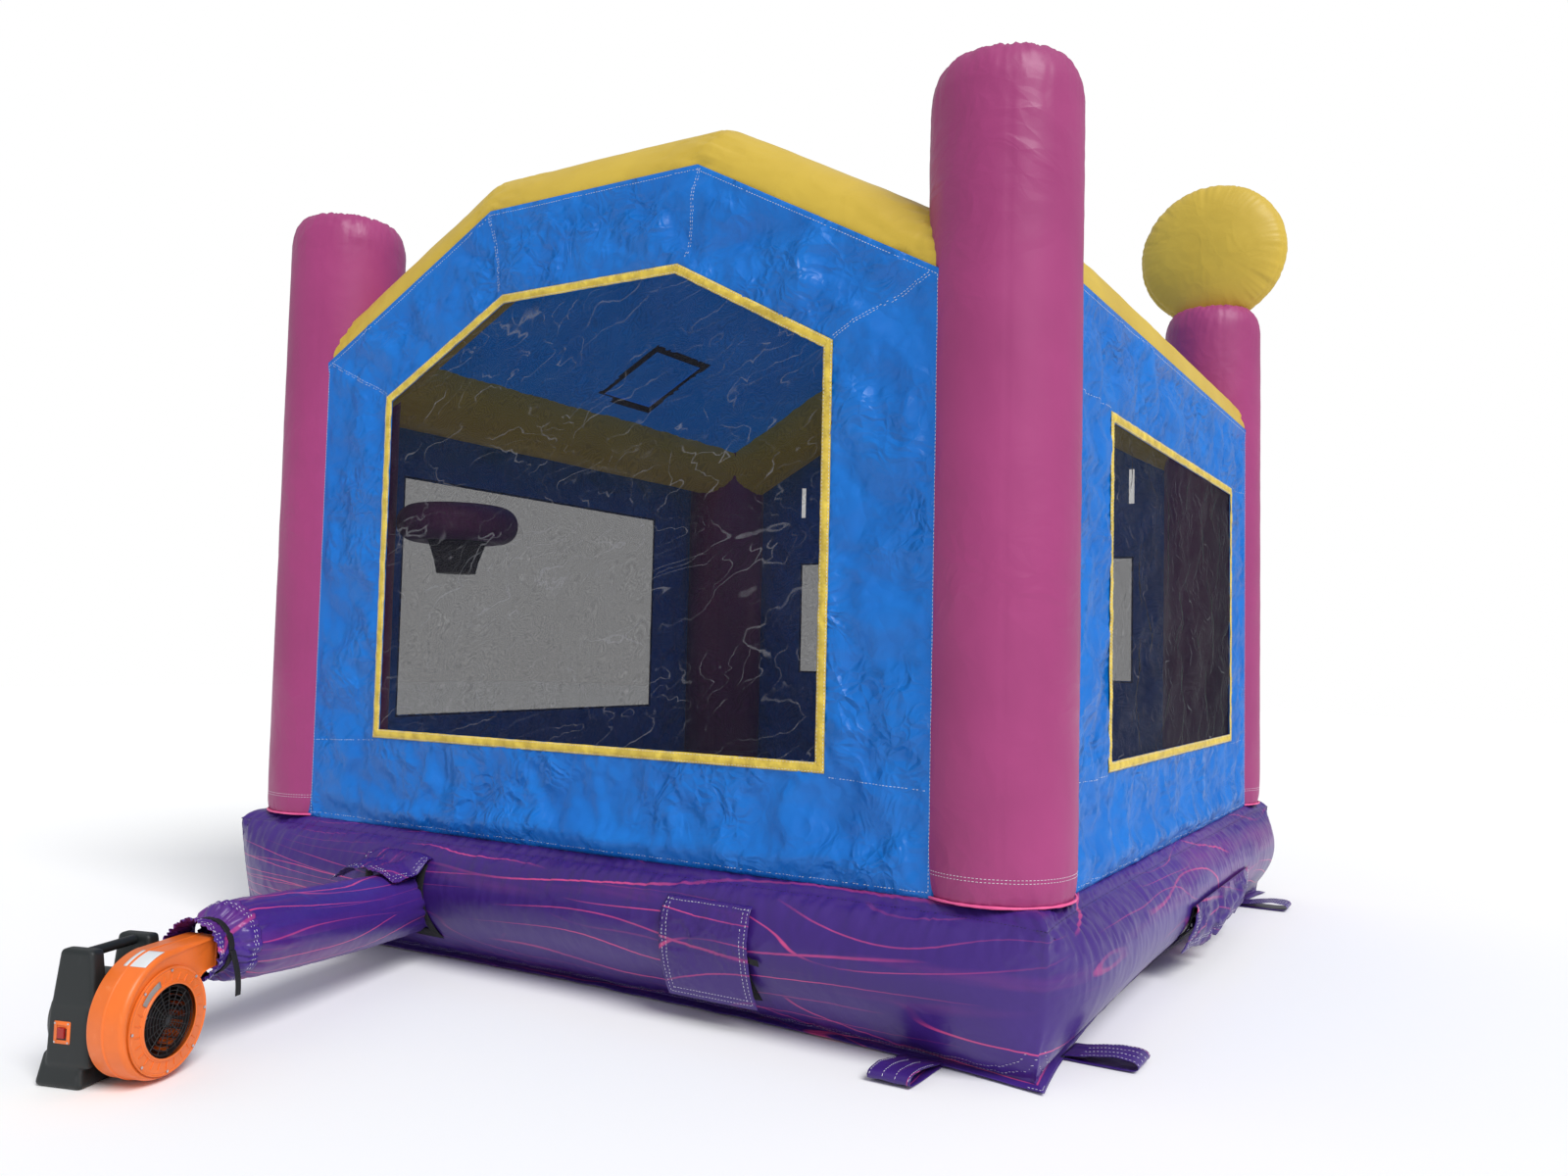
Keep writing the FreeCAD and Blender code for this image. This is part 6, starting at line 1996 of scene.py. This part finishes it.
idle()
bpy.ops.mesh.primitive_cylinder_add(vertices=32, radius=0.0155, depth=0.172, location=(GRIP_AT, 0, GRIP_UP),
                                    rotation=(math.pi / 2, 0, 0))
grip = settle()
pick(grip, lambda centre, normal: abs(normal.y) < 0.5)
bpy.ops.mesh.subdivide(number_cuts=10)
idle()
grip_places = places_of(grip)
along = grip_places[:, 1]
notches = 1 - 0.05 * (np.cos(along * 2 * math.pi / 0.016) > 0.6) * (np.abs(along) < 0.06)
grip_places[:, 0] = GRIP_AT + (grip_places[:, 0] - GRIP_AT) * notches * 1.1
grip_places[:, 2] = GRIP_UP + (grip_places[:, 2] - GRIP_UP) * notches
move_to(grip, grip_places)
onto_blower(grip)
finish_piece(grip, "handle_grip", black_plastic, "fan_black", "handle_bar", angle=50)

# %% [markdown]
# An orange plate with rounded corners carries the switch. Two blank labels show where a maker would
# put stickers: one on top of the scroll and one on its cover.
# %% Switch plate and blank labels
SWITCH = (-0.250, -0.147, 0.165)
plate = shaped_block((SWITCH[0] - 0.030, SWITCH[1] - 0.0005, SWITCH[2] - 0.034),
                     (SWITCH[0] + 0.030, SWITCH[1] + 0.012, SWITCH[2] + 0.034), lambda piece: None, 0.004)
pick(plate, lambda centre, normal: normal.y < -0.9)
bpy.ops.mesh.inset(thickness=0.010, depth=0)
bpy.ops.transform.translate(value=(0, 0.0025, 0))
idle()
onto_blower(plate)
finish_piece(plate, "switch_bezel", orange_plastic, "fan_orange", "switch_plate", angle=40)


def label(name, material, size, place, bend):
    """A thin blank sticker, bent over the surface below it by bend(x, y)."""
    def shape(u, v):
        x, y = (u - 0.5) * size[0], (v - 0.5) * size[1]
        return bend(x + place[0], y + place[1])
    piece = laid_grid(12, 12, shape)
    thicken(piece, 0.0003)
    onto_blower(piece)
    finish_piece(piece, name, material, "fan_orange")


def on_scroll_top(x, lean):
    """A place on the casing's rim, with lean measured from straight up, away from the outlet."""
    radius = np.interp(270 - np.degrees(lean), (180, 270), SCROLL_RADII[2:]) + 0.0006
    return xyz(x, -radius * np.sin(lean), radius * np.cos(lean) + FAN_UP)


def on_cover(reach, angle):
    """A place on the cover's face, by its distance from the axis and its angle from the outlet's side."""
    return xyz(COVER_THICK + 0.0032, reach * np.cos(angle), reach * np.sin(angle) + FAN_UP)


label("top_label", blank_label, (0.080, 0.40), (-0.048, 0.28), on_scroll_top)
label("cover_label", grey_label, (0.020, 0.62), (0.132, 2.25), on_cover)

# %% [markdown]
# ## Stitching
# Every panel is sewn with heavy white thread, whose stitches are about eight millimetres long. One
# stitch is modelled, an Array modifier makes as many as a seam needs, and each is then set down on the
# cloth: a ray from outside finds the surface and the way it faces.
# %% Stitches set along seams
STITCH_PITCH = 0.0135
STITCH_SIZE = (0.0085, 0.0019, 0.0010)


def evenly(points, pitch=STITCH_PITCH):
    """Even places along a line of points, with the way the line runs at each."""
    points = np.asarray(points, dtype=float)
    ways = ways_along(points)
    at = np.arange(pitch / 2, ways[-1], pitch)
    ahead, behind = read_off(at + pitch / 4, ways, points), read_off(at - pitch / 4, ways, points)
    return read_off(at, ways, points), ahead - behind


def surface_of(*names):
    """Several pieces as one surface that rays can hit."""
    corners, faces = [], []
    for name in names:
        mesh = bpy.data.objects[name].data
        first = len(corners)
        corners += [vertex.co.copy() for vertex in mesh.vertices]
        faces += [[first + i for i in face.vertices] for face in mesh.polygons]
    return BVHTree.FromPolygons(corners, faces)


def one_stitch():
    """A single stitch at the origin: a bar along x whose top is narrower."""
    stitch = add_block((0, 0, 0), STITCH_SIZE)
    pick(stitch, lambda centre, normal: normal.z > 0.9)
    bpy.ops.transform.resize(value=(0.7, 0.5, 1))
    idle()
    return stitch


def sew(name, seams, surface, slot, body=HOUSE, thread=None, seam=None):
    """Stitches along seams, each a line of points and the way from which the surface is seen there."""
    placed = []
    for points, out in seams:
        spots, runs = evenly(points)
        outs = np.broadcast_to(out, spots.shape) if np.ndim(out) == 1 else out(spots)
        for spot, run, away in zip(spots, runs, outs):
            away = Vector(away).normalized()
            hit, normal, _, _ = surface.ray_cast(Vector(spot) + away * 0.12, -away, 0.3)
            if hit is None:
                continue
            normal = normal if normal.dot(away) > 0 else -normal
            forward = Vector(run) - normal * Vector(run).dot(normal)
            if forward.length < 1e-6:
                continue
            forward.normalize()
            placed.append((np.array(hit + normal * 0.0003), np.array(forward), np.array(normal)))
    stitch = one_stitch()
    shape = places_of(stitch)
    modify(stitch, "ARRAY", count=len(placed), relative_offset_displace=(2, 0, 0))
    hits, forwards, normals = (np.array([entry[i] for entry in placed]) for i in range(3))
    sides = np.cross(normals, forwards)
    spots = hits[:, None] + shape[None, :, :1] * forwards[:, None] + shape[None, :, 1:2] * sides[:, None] \
        + shape[None, :, 2:] * normals[:, None]
    move_to(stitch, spots.reshape(-1, 3))
    finish_piece(stitch, name, thread or white_thread, slot, body=body, seam=seam)
    print("  ", len(placed), "stitches")


def on_side(outline, quarter, closed=True):
    """A line drawn in a side's own x and z, put on that side, with the way it is seen from."""
    points = np.array(list(outline) + ([outline[0]] if closed else []), dtype=float)
    flat = xyz(points[:, 0], -WALL_OUT, points[:, 1])
    out = to_quarter(np.array([[0.0, -1.0, 0.0]]), quarter)[0]
    return to_quarter(flat, quarter), out


# %% [markdown]
# Seams on the walls: two rows on every tape, lines that run from the window's corners to the corners of
# the wall where its panels join, and a row along the wall's edges.
# %% Wall seams
TAPE_ROWS = (0.005, 0.033)
EDGE_IN = 0.02
PANEL_EDGE = 1.55
FOOT_ROWS, HEM_ROWS = (0.085, 0.096), (0.575, 0.594)


def tape_rows(window, quarter):
    return [on_side(inset_outline(window, row), quarter) for row in TAPE_ROWS]


def twin_line(a, b, quarter, apart=0.010):
    """Two rows of stitches side by side."""
    a, b = np.array(a), np.array(b)
    across = np.array([-(b - a)[1], (b - a)[0]]) / np.linalg.norm(b - a) * apart / 2
    return [on_side([a + across * way, b + across * way], quarter, closed=False) for way in (-1, 1)]


def single_line(a, b, quarter):
    return [on_side([a, b], quarter, closed=False)]


wall_edge = inset_outline(gable_wall, EDGE_IN)
side_edge = inset_outline(side_wall, EDGE_IN)
ridge_corner = rear_window[2]
for side, quarter in (("rear", 0), ("front", 2)):
    seams = [on_side(wall_edge, quarter)]
    for way in (-1, 1):
        seams += twin_line((way * (KNEE_HALF - 0.05), ridge_corner[1] + 0.02 if side == "rear" else 2.62),
                           (way * (KNEE_HALF + 0.005), WALL_HIGH.z - 0.02), quarter)
    if side == "rear":
        for way in (-1, 1):
            seams += twin_line((way * rear_window[1][0], rear_window[1][1] + 0.01),
                               (way * 1.545, WALL_EAVE - 0.02), 0)
            seams += single_line((way * rear_window[0][0], rear_window[0][1] - 0.012),
                                 (way * PANEL_EDGE, 0.905), 0)
        seams += tape_rows(rear_window, 0)
        names = ("wall_cloth_rear", "trim_rear")
    else:
        for window in small_windows:
            seams += tape_rows(window, 2)
        seams += [on_side(inset_outline(door_frame, row), 2) for row in TAPE_ROWS]
        names = ("wall_cloth_front", "trim_front", "door_trim_tape")
    sew(f"wall_stitches_{side}", seams, surface_of(*names), "trim_tape")

for side, quarter in (("right", 1), ("left", 3)):
    seams = [on_side(side_edge, quarter)] + tape_rows(side_window, quarter)
    for way in (-1, 1):
        for height in (side_window[0][1] - 0.012, side_window[1][1] + 0.012):
            seams += single_line((way * side_window[0][0], height), (way * PANEL_EDGE, height), quarter)
    sew(f"wall_stitches_{side}", seams, surface_of(f"wall_cloth_{side}", f"trim_{side}"), "trim_tape")

# %% [markdown]
# Seams on the inflated parts: a double row round each column's foot, two rows on the base's hem, and
# dark thread in the base's top seam. A thin pink cord finishes each column where it meets the base.
# %% Column and base seams
def circle(middle, radius, height, count=96):
    angle = np.linspace(0, 2 * math.pi, count)
    return xyz(middle[0] + radius * np.cos(angle), middle[1] + radius * np.sin(angle), height)


for name, side_x, side_y, quarter in CORNERS:
    middle = np.array([side_x * abs(COLUMN_SPOT[0]), side_y * abs(COLUMN_SPOT[1])])
    seams = [(circle(middle, COLUMN_RADIUS, COLUMN_FOOT + height),
              lambda spots: xyz(spots[:, 0] - middle[0], spots[:, 1] - middle[1], 0))
             for height in FOOT_ROWS]
    sew(f"column_stitches_{name}", seams, surface_of(f"column_skin_{name}"), "column_vinyl")
    idle()
    bpy.ops.mesh.primitive_torus_add(major_radius=COLUMN_RADIUS - 0.004, minor_radius=0.005,
                                     major_segments=120, minor_segments=8,
                                     location=(*middle, COLUMN_FOOT + 0.006))
    piping = settle()
    swell(piping, 0.002 * lumps(places_of(piping) / 0.05, 301))
    finish_piece(piping, f"column_piping_{name}", pink_tape, "column_vinyl")


def base_line(girth, count=160):
    """A line round the base at a way down its side."""
    along = np.linspace(-1, 1, count)
    out, up = base_profile(np.full(count, girth), (1 - np.abs(along)) * BASE_HALF)
    reach = base_profile(np.array([girth]), np.array([0.0]))[0][0]
    return [to_quarter(xyz(along * reach, -out, up), quarter) for quarter in range(4)]


base_surface = surface_of("base_skin")
hem_seams = [(line, np.array([0.0, 0, 1])) for girth in HEM_ROWS for line in base_line(girth)]
sew("hem_stitches", hem_seams, base_surface, "base_vinyl")
seam_rows = []
for quarter, line in enumerate(base_line(0.004)):
    outward = to_quarter(np.array([[0.0, -1.0, 0.5]]), quarter)[0]
    seam_rows.append((line, outward))
sew("top_seam_thread", seam_rows, base_surface, "base_vinyl", thread=dark_thread)

# %% [markdown]
# Seams on the flaps, the loops and the cuff follow the edges of each piece.
# %% Flap, loop and cuff seams
def flap_rows(low, high, quarter, insets):
    """Rows down both sides and across the bottom of a flap drawn in a side's x and z."""
    seams = []
    for step in insets:
        left, right, foot = low[0] + step, high[0] - step, low[1] + step
        seams += single_line((left, high[1]), (left, foot), quarter)
        seams += single_line((right, high[1]), (right, foot), quarter)
        seams += single_line((left, foot), (right, foot), quarter)
    return seams


def stand_out(seams, quarter, by=0.2):
    """The same seams, started further out, for pieces that lie outside the walls."""
    outward = to_quarter(np.array([[0.0, -by, 0.0]]), quarter)[0]
    return [(points + outward, out) for points, out in seams]


rear_rows = flap_rows((flap_low.x, flap_low.z), (flap_high.x, flap_high.z), 0, (0.008, 0.026))
flap_head = flap_high.z - 0.008
rear_rows += single_line((flap_low.x, flap_head), (flap_high.x, flap_head), 0)
sew("rear_flap_stitches", stand_out(rear_rows, 0, 0.15), surface_of("rear_flap_cloth"), "base_vinyl",
    body="rear_pocket_flap", seam=REAR_SEAM)
side_rows = flap_rows((pouch_low.y, pouch_low.z + 0.01), (pouch_high.y, pouch_high.z), 1, (0.010, 0.024))
sew("side_flap_stitches", stand_out(side_rows, 1, 0.16), surface_of("side_flap_cloth"), "base_vinyl",
    body="side_zip_flap", seam=SIDE_SEAM)
UP = np.array([0.0, 0, 1])
inlet_rows = []
for step in (0.008, 0.022):
    left, right, tip = inlet_low.x + step, inlet_high.x - step, inlet_low.y + step + 0.045
    back = inlet_high.y - 0.004
    inlet_rows += [(np.array([(left, back, 0.46), (left, tip, 0.44)]), UP),
                   (np.array([(right, back, 0.46), (right, tip, 0.44)]), UP),
                   (np.array([(left, tip, 0.44), (right, tip, 0.44)]), UP)]
sew("inlet_flap_stitches", inlet_rows, surface_of("inlet_flap_cloth"), "base_vinyl", body="inlet_cover_flap",
    seam=INLET_SEAM)

loop_rows = []
for quarter in range(4):
    for side in (-1, 1):
        for across in (-0.068, -0.022, 0.022, 0.068):
            x = side * LOOP_SPREAD + across
            line = np.array([(x, -1.99, 0.03), (x, -LOOP_REACH + 0.006, 0.03)])
            loop_rows.append((to_quarter(line, quarter), UP))
sew("loop_stitches", loop_rows, surface_of("anchor_straps", "anchor_stripes"), "base_vinyl")

axis_start = BLOWER @ Vector((TUBE_X, 0, TUBE_START[1]))


def from_tube_axis(spots):
    """The way out from the tube's axis."""
    along = BLOWER.to_3x3() @ Vector((0, 1, 0))
    gap = spots - np.array(axis_start)
    return gap - np.outer(gap @ np.array(along), np.array(along))


cuff_rows = []
for way in (CUFF_FROM + 0.010, CUFF_FROM + 0.022, 0.318, 0.328):
    ring = circle((TUBE_X, TUBE_START[1]), 0.1, way)
    cuff_rows.append((turned(ring[:, [0, 2, 1]], BLOWER), from_tube_axis))
sew("cuff_stitches", cuff_rows, surface_of("tube_cuff_cloth"), "base_vinyl")

# %% [markdown]
# ## Parts kept from the engineering model
# Screws, motor, shaft, fan wheel, zip and baffles already have their right shape, so they only get
# their finishes.
# %% Finishes for the kept parts
KEPT_FINISHES = {
    "base_baffles": inner_cloth,
    "zip_tape": black_tape,
    "zip_slider": bright_steel,
    "hatch_fastener": black_tape,
    "motor": motor_paint,
    "motor_shaft": bright_steel,
    "impeller": impeller_plastic,
    "blower_screws": bright_steel,
    "rocker_switch": rocker_plastic,
    "cable_gland": black_plastic,
}
for node, finish in KEPT_FINISHES.items():
    part = frame["nodes"][node]
    for material_slot in part.material_slots:
        material_slot.material = finish
print(len(KEPT_FINISHES), "kept parts finished")
